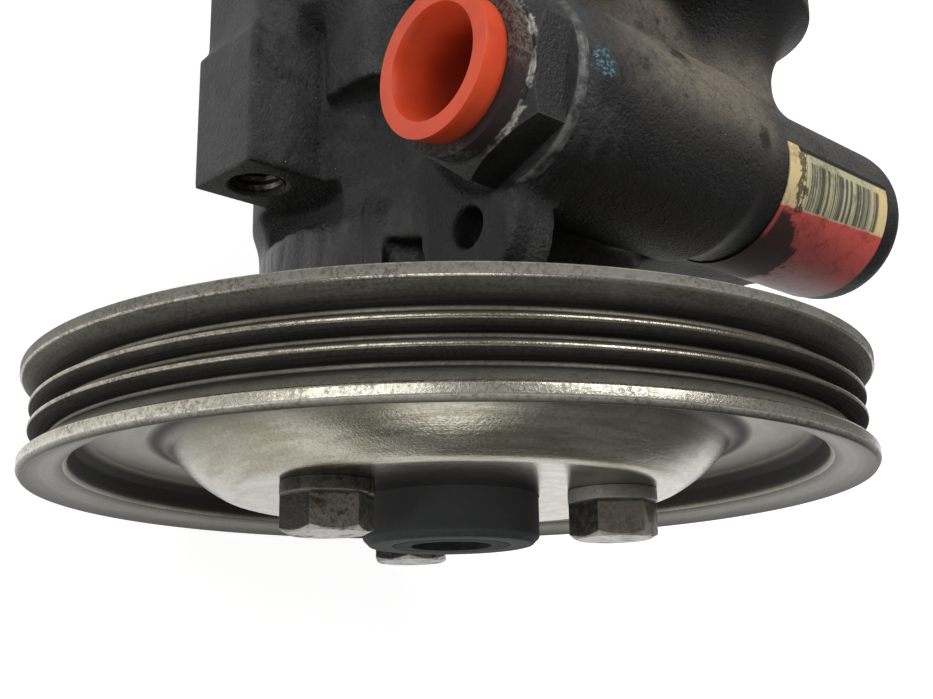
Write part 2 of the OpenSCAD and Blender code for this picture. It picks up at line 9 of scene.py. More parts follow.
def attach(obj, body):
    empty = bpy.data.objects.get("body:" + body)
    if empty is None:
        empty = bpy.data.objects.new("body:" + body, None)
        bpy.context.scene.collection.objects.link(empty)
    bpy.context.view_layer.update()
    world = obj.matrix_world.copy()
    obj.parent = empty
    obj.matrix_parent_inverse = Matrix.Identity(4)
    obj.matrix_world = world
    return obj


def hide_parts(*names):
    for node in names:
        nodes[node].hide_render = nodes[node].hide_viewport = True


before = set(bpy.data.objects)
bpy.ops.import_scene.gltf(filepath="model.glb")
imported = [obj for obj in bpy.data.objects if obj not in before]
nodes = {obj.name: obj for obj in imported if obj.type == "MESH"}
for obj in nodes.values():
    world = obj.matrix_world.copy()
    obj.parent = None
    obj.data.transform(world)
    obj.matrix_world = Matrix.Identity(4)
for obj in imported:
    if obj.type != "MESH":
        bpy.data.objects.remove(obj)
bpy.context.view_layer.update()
scene = bpy.context.scene
scene.view_settings.view_transform = "Standard"
mm = 0.001
# places that several pieces share, in millimetres
valveAxis = (0.0, 3.6, 44.8)
earX = 41.0
columnAt = (33.0, 61.0, 33.0)  # the rear bolt hole's mouth
hubFront = -55.5
tabHole = (-15.2, 37.5)  # y and z
suctionAt = (-8.0, 46.0)  # x and y
print("frame loaded:", len(nodes), "nodes")


# mesh helpers: arrays in, one object out
def gridQuads(rows, columns, closeRows, closeColumns):
    r = np.arange(rows if closeRows else rows - 1)[:, None]
    c = np.arange(columns if closeColumns else columns - 1)[None, :]
    r1, c1 = (r + 1) % rows, (c + 1) % columns
    quads = np.stack([r * columns + c, r1 * columns + c, r1 * columns + c1, r * columns + c1], -1)
    return quads.reshape(-1, 4)


def putObject(name, data):
    made = bpy.data.objects.new(name, data)
    scene.collection.objects.link(made)
    return made


def putMesh(name, points, quads, sharp=40.0):
    mesh = bpy.data.meshes.new(name)
    mesh.vertices.add(len(points))
    mesh.vertices.foreach_set("co", np.ascontiguousarray(points, np.float32).ravel())
    mesh.loops.add(quads.size)
    mesh.loops.foreach_set("vertex_index", quads.astype(np.int32).ravel())
    mesh.polygons.add(len(quads))
    mesh.polygons.foreach_set("loop_start", np.arange(0, quads.size, 4, dtype=np.int32))
    mesh.update(calc_edges=True)
    mesh.shade_smooth()
    mesh.set_sharp_from_angle(angle=math.radians(sharp))
    return putObject(name, mesh)


def giveValues(made, name, values):
    layer = made.data.attributes.new(name, "FLOAT", "POINT")
    layer.data.foreach_set("value", np.ascontiguousarray(values, np.float32).ravel())


# every corner of a closed outline becomes a quadratic curve that starts and ends `reach` from it
def softCorners(outline, reach, steps=4):
    p = np.asarray(outline, float)
    back, ahead = np.roll(p, 1, 0) - p, np.roll(p, -1, 0) - p
    lb = np.linalg.norm(back, axis=1, keepdims=True)
    la = np.linalg.norm(ahead, axis=1, keepdims=True)
    d = np.minimum(reach, 0.45 * np.minimum(lb, la))
    a, b = p + back / lb * d, p + ahead / la * d
    t = np.linspace(0, 1, steps)[None, :, None]
    curve = (1 - t) ** 2 * a[:, None] + 2 * t * (1 - t) * p[:, None] + t ** 2 * b[:, None]
    return curve.reshape(-1, 2)


# an outline of (radius, y) turned about the shaft: (r sin a, y, r cos a)
def turnedPoints(outline, steps):
    r, y = outline[:, 0], outline[:, 1]
    area = np.sum(r * np.roll(y, -1) - np.roll(r, -1) * y)
    if area > 0:  # clockwise outlines face outwards
        outline = outline[::-1]
        r, y = outline[:, 0], outline[:, 1]
    a = np.linspace(0, 2 * np.pi, steps, endpoint=False)
    points = np.stack([r[:, None] * np.sin(a), np.repeat(y[:, None], steps, 1), r[:, None] * np.cos(a)], -1)
    return points.reshape(-1, 3), gridQuads(len(outline), steps, True, True), r, y


# shader helpers: one call per node
def addNode(tree, kind, sockets=None, **settings):
    made = tree.nodes.new("ShaderNode" + kind)
    for key, value in settings.items():
        setattr(made, key, value)
    for key, value in (sockets or {}).items():
        if isinstance(value, bpy.types.NodeSocket):
            tree.links.new(value, made.inputs[key])
        else:
            made.inputs[key].default_value = value
    return made


def calc(tree, operation, a, b=0.0, c=0.0, clamp=False):
    return addNode(tree, "Math", {0: a, 1: b, 2: c}, operation=operation, use_clamp=clamp).outputs[0]


def times(tree, a, b, clamp=False):
    return calc(tree, "MULTIPLY", a, b, clamp=clamp)


def scaled(tree, value, factor, offset, clamp=False):
    return calc(tree, "MULTIPLY_ADD", value, factor, offset, clamp)


def most(tree, a, b):
    return calc(tree, "MAXIMUM", a, b)


def plus(tree, a, b):
    return calc(tree, "ADD", a, b)


def minus(tree, a, b):
    return calc(tree, "SUBTRACT", a, b)


def rise(tree, value, low, high, bottom=0.0, top=1.0):
    ends = {0: value, 1: low, 2: high, 3: bottom, 4: top}
    return addNode(tree, "MapRange", ends, interpolation_type="SMOOTHSTEP").outputs[0]


def blend(tree, share, a, b):
    made = addNode(tree, "Mix", {0: share, 6: a, 7: b}, data_type="RGBA", clamp_factor=True)
    return made.outputs[2]


def noise(tree, vector, scale, detail=3.0, rough=0.55, twist=0.0):
    sockets = {"Vector": vector, "Scale": scale, "Detail": detail, "Roughness": rough, "Distortion": twist}
    return addNode(tree, "TexNoise", sockets).outputs[0]


def colour(red, green, blue):
    return (red, green, blue, 1.0)


# a group takes a vector and named numbers and gives numbers
def makeGroup(name, numbers, outputs):
    tree = bpy.data.node_groups.new(name, "ShaderNodeTree")
    tree.interface.new_socket(name="Vector", in_out="INPUT", socket_type="NodeSocketVector")
    for label, value in numbers.items():
        spot = tree.interface.new_socket(name=label, in_out="INPUT", socket_type="NodeSocketFloat")
        spot.default_value = value
    for label in outputs:
        tree.interface.new_socket(name=label, in_out="OUTPUT", socket_type="NodeSocketFloat")
    return tree, tree.nodes.new("NodeGroupInput").outputs, tree.nodes.new("NodeGroupOutput").inputs


def useGroup(tree, group, sockets):
    return addNode(tree, "Group", sockets, node_tree=group).outputs


# sand-cast skin: coarse swell plus fine grain and small pits, vectors in millimetres
def castSkinGroup():
    tree, give, take = makeGroup("castSkin", {"Grain": 1.6}, ["Height", "Mottle"])
    swell = noise(tree, give["Vector"], 0.16, 4.0, 0.6)
    grain = noise(tree, give["Vector"], give["Grain"], 5.0, 0.62)
    pits = addNode(tree, "TexVoronoi", {"Vector": give["Vector"], "Scale": 0.75, "Randomness": 1.0})
    pitMask = rise(tree, pits.outputs["Distance"], 0.05, 0.3)
    height = scaled(tree, swell, 0.9, times(tree, grain, 0.75))
    height = scaled(tree, pitMask, 0.25, height)
    tree.links.new(height, take["Height"])
    tree.links.new(noise(tree, give["Vector"], 0.09, 5.0, 0.65, 0.6), take["Mottle"])
    return tree


# scattered dots: cells whose random value passes a share and whose centre is near
def speckleGroup():
    tree, give, take = makeGroup("speckle", {"Scale": 0.3, "Share": 0.1, "Size": 0.1}, ["Mask"])
    cell = addNode(tree, "TexVoronoi", {"Vector": give["Vector"], "Scale": give["Scale"]})
    pick = addNode(tree, "SeparateColor", {0: cell.outputs["Color"]}).outputs
    chosen = calc(tree, "LESS_THAN", pick[0], give["Share"])
    reach = times(tree, give["Size"], scaled(tree, pick[1], 0.8, 0.35))
    ragged = scaled(tree, noise(tree, give["Vector"], 2.2, 3.0), 0.12, cell.outputs["Distance"])
    near = calc(tree, "LESS_THAN", ragged, plus(tree, reach, 0.055))
    tree.links.new(times(tree, chosen, near), take["Mask"])
    return tree


# patches of dirt: two noises multiplied and cut between two levels
def grimeGroup():
    tree, give, take = makeGroup("grime", {"Scale": 0.1, "Low": 0.45, "High": 0.65}, ["Mask"])
    wide = noise(tree, give["Vector"], give["Scale"], 5.0, 0.65, 0.5)
    tight = noise(tree, give["Vector"], times(tree, give["Scale"], 6.0), 4.0, 0.6)
    both = scaled(tree, tight, 0.35, times(tree, wide, 0.65))
    tree.links.new(rise(tree, both, give["Low"], give["High"]), take["Mask"])
    return tree


# turning marks round the shaft: noise on (x/r, z/r) stretched along radius and y
def turnedMarksGroup():
    tree, give, take = makeGroup("turnedMarks", {"Lines": 3.0, "Around": 2.0}, ["Height", "Tone"])
    part = addNode(tree, "SeparateXYZ", {0: give["Vector"]}).outputs
    r = calc(tree, "SQRT", scaled(tree, part[0], part[0], times(tree, part[2], part[2])))
    safe = most(tree, r, 0.01)
    across = times(tree, plus(tree, r, part[1]), give["Lines"])
    slow = calc(tree, "DIVIDE", give["Around"], safe)
    x, z = times(tree, part[0], slow), times(tree, part[2], slow)
    along = addNode(tree, "CombineXYZ", {0: x, 1: across, 2: z}).outputs[0]
    tree.links.new(noise(tree, along, 1.0, 4.0, 0.7), take["Height"])
    broad = addNode(tree, "CombineXYZ", {0: x, 1: times(tree, across, 0.12), 2: z}).outputs[0]
    tree.links.new(noise(tree, broad, 1.3, 4.0, 0.6), take["Tone"])
    return tree


# rubbed edges: how far a rounded normal turns away from the true one
def edgeRubGroup():
    tree, give, take = makeGroup("edgeRub", {"Reach": 0.0006}, ["Mask"])
    soft = addNode(tree, "Bevel", {"Radius": give["Reach"]}, samples=6).outputs[0]
    flat = addNode(tree, "NewGeometry").outputs["Normal"]
    turn = addNode(tree, "VectorMath", {0: soft, 1: flat}, operation="DOT_PRODUCT").outputs["Value"]
    bent = minus(tree, 1.0, turn)
    worn = times(tree, bent, scaled(tree, noise(tree, give["Vector"], 0.9, 4.0, 0.7), 5.0, 0.4))
    tree.links.new(rise(tree, worn, 0.06, 0.4), take["Mask"])
    return tree


castSkin, speckle, grime = castSkinGroup(), speckleGroup(), grimeGroup()
turnedMarks, edgeRub = turnedMarksGroup(), edgeRubGroup()
print("shader groups:", len(bpy.data.node_groups))


# what the groups give over the surface
def patches(tree, vector, scale, low, high):
    return useGroup(tree, grime, {"Vector": vector, "Scale": scale, "Low": low, "High": high})["Mask"]


def specks(tree, vector, scale, share, size):
    return useGroup(tree, speckle, {"Vector": vector, "Scale": scale, "Share": share, "Size": size})["Mask"]


def turned(tree, vector, lines, around):
    return useGroup(tree, turnedMarks, {"Vector": vector, "Lines": lines, "Around": around})


def rubbed(tree, vector, reach):
    return useGroup(tree, edgeRub, {"Vector": vector, "Reach": reach})["Mask"]


# a new material with its shader and its coordinates in millimetres
def startMaterial(name, **constants):
    made = bpy.data.materials.new(name)
    made.use_nodes = True
    tree = made.node_tree
    shader = tree.nodes["Principled BSDF"]
    for key, value in constants.items():
        shader.inputs[key.replace("_", " ")].default_value = value
    metres = addNode(tree, "TexCoord").outputs["Object"]
    vector = addNode(tree, "VectorMath", {0: metres, 1: (1000, 1000, 1000)}, operation="MULTIPLY")
    return made, tree, shader, vector.outputs[0]


def feed(shader, name, value):
    shader.id_data.links.new(value, shader.inputs[name])


def bump(tree, shader, height, depth, strength=1.0):
    made = addNode(tree, "Bump", {"Height": height, "Distance": depth, "Strength": strength})
    feed(shader, "Normal", made.outputs[0])


# 1 inside a ball around a place, with a ragged rim
def markAt(tree, vector, place, radius, ragged=0.5):
    away = addNode(tree, "VectorMath", {0: vector, 1: place}, operation="DISTANCE").outputs["Value"]
    rough = scaled(tree, noise(tree, vector, 0.8, 4.0, 0.65), radius * ragged * 2, away)
    return rise(tree, rough, radius * (1 + ragged), radius * (0.55 + ragged))


# 1 where the surface looks along a direction
def facing(tree, direction, low, high):
    normal = addNode(tree, "TexCoord").outputs["Normal"]
    turn = addNode(tree, "VectorMath", {0: normal, 1: direction}, operation="DOT_PRODUCT").outputs["Value"]
    return rise(tree, turn, low, high)


# distance from the shaft's axis, and the place along it
def roundShaft(tree, vector):
    part = addNode(tree, "SeparateXYZ", {0: vector}).outputs
    r = calc(tree, "SQRT", scaled(tree, part[0], part[0], times(tree, part[2], part[2])))
    return r, part[1]


# place along the valve, distance from its axis and angle round it: 90 up, 180 towards +Z, 270 forwards
def roundValve(tree, vector):
    part = addNode(tree, "SeparateXYZ", {0: vector}).outputs
    dy = minus(tree, part[1], valveAxis[1])
    dz = minus(tree, part[2], valveAxis[2])
    r = calc(tree, "SQRT", scaled(tree, dy, dy, times(tree, dz, dz)))
    angle = times(tree, calc(tree, "ARCTAN2", dy, times(tree, dz, -1.0)), 180 / math.pi)
    angle = plus(tree, angle, times(tree, calc(tree, "LESS_THAN", angle, 0.0), 360.0))
    return part[0], r, angle


# housing: black paint on a sand casting, dusty along the valve, oily on the nose, with painted shade on the
# faces that look towards the pulley
casting = {
    "paint": colour(0.017, 0.017, 0.0175),
    "rubbed": colour(0.040, 0.040, 0.0395),
    "chalk": colour(0.090, 0.090, 0.087),
    "dust": colour(0.205, 0.172, 0.128),
    "oil": colour(0.004, 0.004, 0.0045),
    "bare": colour(0.17, 0.17, 0.165),
    "speck": colour(0.42, 0.41, 0.38),
    "bluePaint": colour(0.10, 0.26, 0.36),
    "blueAt": (-25.2, 3.2, 60.6),
    "film": colour(0.110, 0.097, 0.085),
    "filmFrom": (0.0, 0.0, 1.0),
    "dustFrom": (0.0, 0.50, 0.866),
    "shadeFrom": (0.0, -0.94, 0.34),
    "dustX": (-27.0, -8.0),
    "dustY": (-13.0, 9.0),
    "oilAt": [(-24.0, -0.6, 60.2, 3.2), (-19.6, -1.4, 60.1, 3.6), (12.5, 3.0, 59.5, 3.0)],
    "barrelX": (15.0, 21.0),
    "barrelY": (22.0, 15.0),
    "wetY": (-3.0, -8.0),
    "wetX": (-8.0, -18.0),
    "wetZ": (27.0, 19.0),
}


def paintedCasting(k):
    made, tree, shader, vector = startMaterial("paintedCasting", Specular_IOR_Level=0.32)
    part = addNode(tree, "SeparateXYZ", {0: vector}).outputs
    skin = useGroup(tree, castSkin, {"Vector": vector, "Grain": 1.8})
    tone = blend(tree, rise(tree, skin["Mottle"], 0.40, 0.64), k["paint"], k["rubbed"])
    grains = rise(tree, noise(tree, vector, 1.9, 5.0, 0.75), 0.50, 0.68)
    tone = blend(tree, times(tree, grains, 0.45), tone, k["chalk"])
    top = facing(tree, k["dustFrom"], 0.25, 0.95)
    top = times(tree, top, rise(tree, part[0], *k["dustX"]))
    top = times(tree, top, rise(tree, part[1], *k["dustY"]))
    barrel = times(tree, rise(tree, part[0], *k["barrelX"]), rise(tree, part[1], *k["barrelY"]))
    handled = scaled(tree, barrel, -0.85, 1.0)
    top = times(tree, top, handled)
    patchy = patches(tree, vector, 0.13, 0.26, 0.56)
    dusty = times(tree, times(tree, top, patchy), 0.95)
    tone = blend(tree, dusty, tone, k["dust"])
    film = times(tree, facing(tree, k["filmFrom"], 0.0, 0.7), rise(tree, part[0], *k["dustX"]))
    film = times(tree, film, handled)
    flecks = rise(tree, noise(tree, vector, 0.9, 5.0, 0.75), 0.40, 0.62)
    tone = blend(tree, times(tree, film, times(tree, flecks, 0.6)), tone, k["film"])
    fine = rise(tree, noise(tree, vector, 2.6, 4.0, 0.7), 0.50, 0.66)
    tone = blend(tree, times(tree, fine, 0.55), tone, k["oil"])
    # painted shade: faces that look towards the pulley are darkened through the oil mask
    shadedUnder = facing(tree, k["shadeFrom"], 0.15, 0.7)
    oily = patches(tree, vector, 0.07, 0.50, 0.66)
    oily = most(tree, oily, times(tree, shadedUnder, rise(tree, part[0], -24.0, -16.0)))
    for x, y, z, radius in k["oilAt"]:
        oily = most(tree, oily, markAt(tree, vector, (x, y, z), radius))
    tone = blend(tree, times(tree, oily, 0.85), tone, k["oil"])
    edges = rise(tree, addNode(tree, "NewGeometry").outputs["Pointiness"], 0.52, 0.58)
    scuff = times(tree, rise(tree, noise(tree, vector, 0.35, 5.0, 0.75), 0.50, 0.62), edges)
    scuff = times(tree, scuff, rise(tree, part[0], -26.0, -32.0))
    tone = blend(tree, times(tree, scuff, 0.8), tone, k["bare"])
    blue = rise(tree, noise(tree, vector, 1.4, 4.0, 0.7), 0.48, 0.60)
    blue = times(tree, markAt(tree, vector, k["blueAt"], 2.6), blue)
    tone = blend(tree, times(tree, blue, 0.75), tone, k["bluePaint"])
    dots = specks(tree, vector, 0.50, 0.40, 0.05)
    tone = blend(tree, times(tree, dots, 0.8), tone, k["speck"])
    # wet streaks slant down the nose
    slant = {"Vector": vector, "Rotation": (0.0, 0.0, 0.6), "Scale": (0.16, 0.035, 0.16)}
    streaks = noise(tree, addNode(tree, "Mapping", slant).outputs[0], 1.0, 2.0, 0.5, 0.3)
    nose = times(tree, rise(tree, part[1], *k["wetY"]), rise(tree, part[0], *k["wetX"]))
    wet = times(tree, nose, rise(tree, part[2], *k["wetZ"]))
    dark = times(tree, times(tree, nose, rise(tree, streaks, 0.62, 0.46)), 0.85)
    feed(shader, "Base Color", blend(tree, dark, tone, k["oil"]))
    dull = scaled(tree, dusty, 0.3, 0.5)
    dull = scaled(tree, most(tree, wet, times(tree, oily, 0.3)), -0.24, dull)
    feed(shader, "Roughness", scaled(tree, skin["Mottle"], 0.14, dull, clamp=True))
    rough = scaled(tree, wet, -0.55, 1.0)
    height = scaled(tree, times(tree, streaks, wet), 4.0, times(tree, skin["Height"], rough))
    bump(tree, shader, height, 0.0006, 0.85)
    return made


# the casting grows fillets: a vertex below its neighbours' mean moves out along its normal,
# and all vertices drift slightly to that mean, as sand rounds an edge
housingCast = {
    "voxel": 0.6 * mm, "fillet": 50, "growth": 0.5, "round": 3, "drift": 0.45, "faces": 190000,
    "lead": (5.0, 0.95),
    "filler": {"low": (-29.9, -9.8, 10.0), "high": (-10.0, -5.0, 30.5), "slant": -4.6},
    "plug": {"place": (10.0, 59.5, 36.8), "radius": 2.45, "length": 23.0},
}


# a closed six-sided block, its lower side slanting from one end to the other
def addBlock(mesh, low, high, slant):
    (x0, y0, z0), (x1, y1, z1) = low, high
    corners = np.array([
        (x0, y0, z0), (x1, y0, z0), (x1, y1, z0), (x0, y1, z0),
        (x0, y0 + slant, z1), (x1, y0 + slant, z1), (x1, y1, z1), (x0, y1, z1),
    ]) * mm
    sides = [(0, 3, 2, 1), (4, 5, 6, 7), (0, 1, 5, 4), (1, 2, 6, 5), (2, 3, 7, 6), (3, 0, 4, 7)]
    more = bpy.data.meshes.new("more")
    more.from_pydata(corners.tolist(), [], sides)
    both = bmesh.new()
    both.from_mesh(mesh)
    both.from_mesh(more)
    both.to_mesh(mesh)
    both.free()
    bpy.data.meshes.remove(more)


# a closed rod along y, where the wall over the pressure passage is thinner than a voxel
def addRod(mesh, place, radius, length):
    both = bmesh.new()
    both.from_mesh(mesh)
    laid = Matrix.Translation(np.array(place) * mm) @ Matrix.Rotation(math.pi / 2, 4, "X")
    r = radius * mm
    bmesh.ops.create_cone(
        both, cap_ends=True, segments=32, radius1=r, radius2=r, depth=length * mm, matrix=laid)
    both.to_mesh(mesh)
    both.free()


def neighbourMean(points, edges, count):
    total = np.zeros_like(points)
    for here, there in (edges.T, edges.T[::-1]):
        for axis in range(3):
            total[:, axis] += np.bincount(here, points[there, axis], len(points))
    return total / count[:, None]


def machinedPlaces(p):
    x, y, z = (p / mm).T
    shaft = np.hypot(x, z)
    valve = np.hypot(y - valveAxis[1], z - valveAxis[2])
    ears = np.hypot(np.abs(x) - earX, z)
    # rotating group and nose, valve bore and union seat, ears, tab hole, column hole, suction spigot
    keep = (shaft < 32.5) & ((y < -20) | (y > 29)) | (shaft < 20) | (y > 78)
    keep |= (valve < 14.6) & (x < -25.5) | (valve < 11)
    keep |= (ears < 6.2) & (y < 22) | (ears < 15.5) & (y < 6)
    keep |= np.hypot(y - tabHole[0], z - tabHole[1]) < 4.6
    keep |= np.hypot(x - columnAt[0], z - columnAt[2]) < 6.5
    keep |= np.hypot(x - suctionAt[0], y - suctionAt[1]) < 9.4
    return keep


def makeHousing(k, paint):
    blank = putObject("housingBlank", nodes["housing"].data.copy())
    addBlock(blank.data, **k["filler"])
    addRod(blank.data, **k["plug"])
    blank.modifiers.new("join", "WELD").merge_threshold = 0.01 * mm
    remesh = blank.modifiers.new("skin", "REMESH")
    remesh.mode = "VOXEL"
    remesh.voxel_size = k["voxel"]
    depsgraph = bpy.context.evaluated_depsgraph_get()
    mesh = bpy.data.meshes.new_from_object(blank.evaluated_get(depsgraph))
    count, edgeCount = len(mesh.vertices), len(mesh.edges)
    points = np.zeros(count * 3, np.float32)
    edges = np.zeros(edgeCount * 2, np.int32)
    mesh.vertices.foreach_get("co", points)
    mesh.edges.foreach_get("vertices", edges)
    points, edges = points.reshape(-1, 3).astype(float), edges.reshape(-1, 2)
    links = np.bincount(edges.ravel(), minlength=count).astype(float)
    grows = np.where(machinedPlaces(points), 0.0, 1.0)[:, None]
    normals = np.zeros(count * 3, np.float32)
    for step in range(k["fillet"]):
        if step % 10 == 0:
            mesh.vertices.foreach_set("co", points.astype(np.float32).ravel())
            mesh.update()
            mesh.vertices.foreach_get("normal", normals)
            out = normals.reshape(-1, 3).astype(float)
        pull = neighbourMean(points, edges, links) - points
        lift = np.sum(pull * out, 1, keepdims=True)
        points += grows * k["growth"] * np.maximum(lift, 0) * out
    for step in range(k["round"]):
        points += k["drift"] * (neighbourMean(points, edges, links) - points)
    # the ear holes open into their lead-in: radius falls with depth until it meets the hole
    x, y, z = (points / mm).T
    side = np.where(x > 0, earX, -earX)
    r = np.hypot(x - side, z)
    wide, deep = k["lead"]
    opened = np.where((r < wide) & (y > -0.4) & (y < deep), np.maximum(r, wide - np.maximum(y, 0.0)), r)
    stretch = opened / np.maximum(r, 0.1)
    points[:, 0] = (side + (x - side) * stretch) * mm
    points[:, 2] = z * stretch * mm
    mesh.vertices.foreach_set("co", points.astype(np.float32).ravel())
    mesh.update()
    mesh.shade_smooth()
    blank.modifiers.clear()
    blank.data = mesh
    thin = blank.modifiers.new("thin", "DECIMATE")
    thin.ratio = min(1.0, k["faces"] / (2.0 * len(mesh.polygons)))
    depsgraph = bpy.context.evaluated_depsgraph_get()
    final = bpy.data.meshes.new_from_object(blank.evaluated_get(depsgraph))
    bpy.data.objects.remove(blank)
    final.materials.clear()
    final.materials.append(paint)
    final.shade_smooth()
    made = putObject("housingCast", final)
    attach(made, "pump")
    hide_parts("housing")
    print("housing:", len(final.polygons), "faces")


makeHousing(housingCast, paintedCasting(casting))


# boss around the union: a machined ring, turned about the valve's axis
bossTurned = {
    "face": -29.03, "back": -26.3, "bore": 10.4, "rim": 15.1, "chamfer": 0.5, "corner": 0.35, "steps": 160,
    "paint": colour(0.022, 0.022, 0.0225), "rubbed": colour(0.050, 0.050, 0.0495),
}


def bossFinish(k):
    made, tree, shader, vector = startMaterial("bossPaint", Specular_IOR_Level=0.35)
    r = roundValve(tree, vector)[1]
    skin = useGroup(tree, castSkin, {"Vector": vector, "Grain": 1.6})
    tone = blend(tree, rise(tree, skin["Mottle"], 0.40, 0.62), k["paint"], k["rubbed"])
    chalky = rise(tree, noise(tree, vector, 1.3, 5.0, 0.75), 0.56, 0.66)
    tone = blend(tree, times(tree, chalky, 0.5), tone, casting["chalk"])
    # the rim's light line is partly worn bare paint, partly a painted highlight along the boss's edge
    worn = rise(tree, noise(tree, vector, 0.5, 5.0, 0.7), 0.40, 0.62)
    worn = times(tree, rise(tree, r, k["rim"] - 0.75, k["rim"] - 0.35), worn)
    tone = blend(tree, times(tree, worn, 0.6), tone, casting["bare"])
    feed(shader, "Base Color", tone)
    feed(shader, "Roughness", scaled(tree, skin["Mottle"], 0.25, 0.30))
    bump(tree, shader, skin["Height"], 0.0003, 0.6)
    return made


def makeBoss(k):
    outline = np.array([
        (k["bore"], k["face"]), (k["rim"] - k["chamfer"], k["face"]), (k["rim"], k["face"] + k["chamfer"]),
        (k["rim"], k["back"]), (k["bore"], k["back"]),
    ])
    points, quads = turnedPoints(softCorners(outline, k["corner"]) * mm, k["steps"])[:2]
    points = points[:, [1, 2, 0]] + np.array(valveAxis) * mm
    made = putMesh("bossTurned", points, quads, 50)
    made.data.materials.append(bossFinish(k))
    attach(made, "pump")
    print("boss:", len(quads), "faces")


makeBoss(bossTurned)


# pulley: bare turned steel, black grime in the grooves deepened by painted shade, bright crests, painted
# highlights on the lip edges, a painted reflection on the web, a dull rim face with painted dark reflection
# and a lighter painted reflection band, painted shade on the dish wall, the dome's foot and its flank
pulleyTurned = {
    "rim": 71.6, "rearLip": 0.3, "width": 17.6, "front": -46.1, "crest": 70.3, "root": 67.3, "inside": 63.6,
    "pitch": 3.56, "middle": 9.35, "web": 3.5, "webSet": 7.5, "dome": 50.0, "domeFlat": 37.0,
    "domeOut": 1.2, "bore": 15.25, "lip": 1.5, "ridge": 0.28, "steps": 320, "corner": 0.22,
    "dish": (56.0, 66.0), "wallFrom": 59.5, "flankShadeFrom": 44.0, "webFrom": 51.5, "webTo": 61.5,
    "reflectionBandAt": 67.0,
    "steel": colour(0.41, 0.393, 0.325),
    "straw": colour(0.275, 0.252, 0.190),
    "highlight": colour(0.58, 0.565, 0.495),
    "grimeTone": colour(0.021, 0.021, 0.0225),
    "depthShadeTone": colour(0.013, 0.013, 0.0135),
    "rust": colour(0.060, 0.050, 0.036),
    "shade": colour(0.016, 0.016, 0.015),
    "dull": colour(0.072, 0.070, 0.057),
}


# a quadratic curve from a to b that leaves and arrives along the lines through c
def bend(a, c, b, steps):
    t = np.linspace(0, 1, steps)[:, None]
    return (1 - t) ** 2 * np.array(a) + 2 * t * (1 - t) * np.array(c) + t ** 2 * np.array(b)


def pulleyOutline(k):
    half = k["ridge"]
    g = k["middle"] + k["pitch"] * np.array([-1.0, 0.0, 1.0])
    w = k["pitch"] / 2 - k["ridge"]
    rim, crest, root, inside, lip = k["rim"], k["crest"], k["root"], k["inside"], k["lip"]
    back, wide, deep = rim + k["rearLip"], k["width"], k["webSet"] + k["web"]
    web, dome, flat, out = k["web"], k["dome"], k["domeFlat"], k["domeOut"]
    rimPart = [
        (rim - 0.6, 0), (rim, 0.9), (rim, 0.9 + lip), (rim - 0.3, 1.2 + lip),
        (root, g[0] - half), (root, g[0] + half), (crest, g[0] + w), (crest, g[1] - w),
        (root, g[1] - half), (root, g[1] + half), (crest, g[1] + w), (crest, g[2] - w),
        (root, g[2] - half), (root, g[2] + half),
        (back - 0.3, wide - lip - 0.3), (back, wide - lip), (back, wide - 0.2), (back - 0.2, wide),
        (inside + 2.6, wide), (inside + 1.2, wide - 0.6), (inside + 0.6, wide - 1.6),
        (inside + 0.4, deep + 1.5), (inside - 1.2, deep), (dome + 0.6, deep), (dome - 1.6, deep - 1),
        (flat + 2.4, web - out + 0.9), (flat, web - out), (k["bore"], web - out), (k["bore"], -out),
    ]
    shoulder, flank = (flat + 2.8, 0.7 - out), (dome - 2.2, k["webSet"] - 1.4)
    bulge = (shoulder[0] + 0.6 * (flank[0] - shoulder[0]), shoulder[1] + 0.4 * (flank[1] - shoulder[1]))
    domePart = np.concatenate([
        bend((flat, -out), (flat + 1.6, -out), shoulder, 7),
        bend(shoulder, bulge, flank, 12)[1:],
        bend(flank, (dome - 0.8, k["webSet"]), (dome + 1.8, k["webSet"]), 8)[1:],
    ])
    dishPart = [
        (inside - 2.6, k["webSet"]), (inside - 1.2, k["webSet"] - 0.5), (inside - 0.4, k["webSet"] - 1.8),
        (inside, 3.8), (inside + 0.25, 2.8), (inside + 1, 2.1), (inside + 2.4, 1.6), (inside + 4.4, 1),
        (rim - 1.2, 0.2),
    ]
    return np.concatenate([rimPart, domePart, dishPart]) + np.array([0, k["front"]])


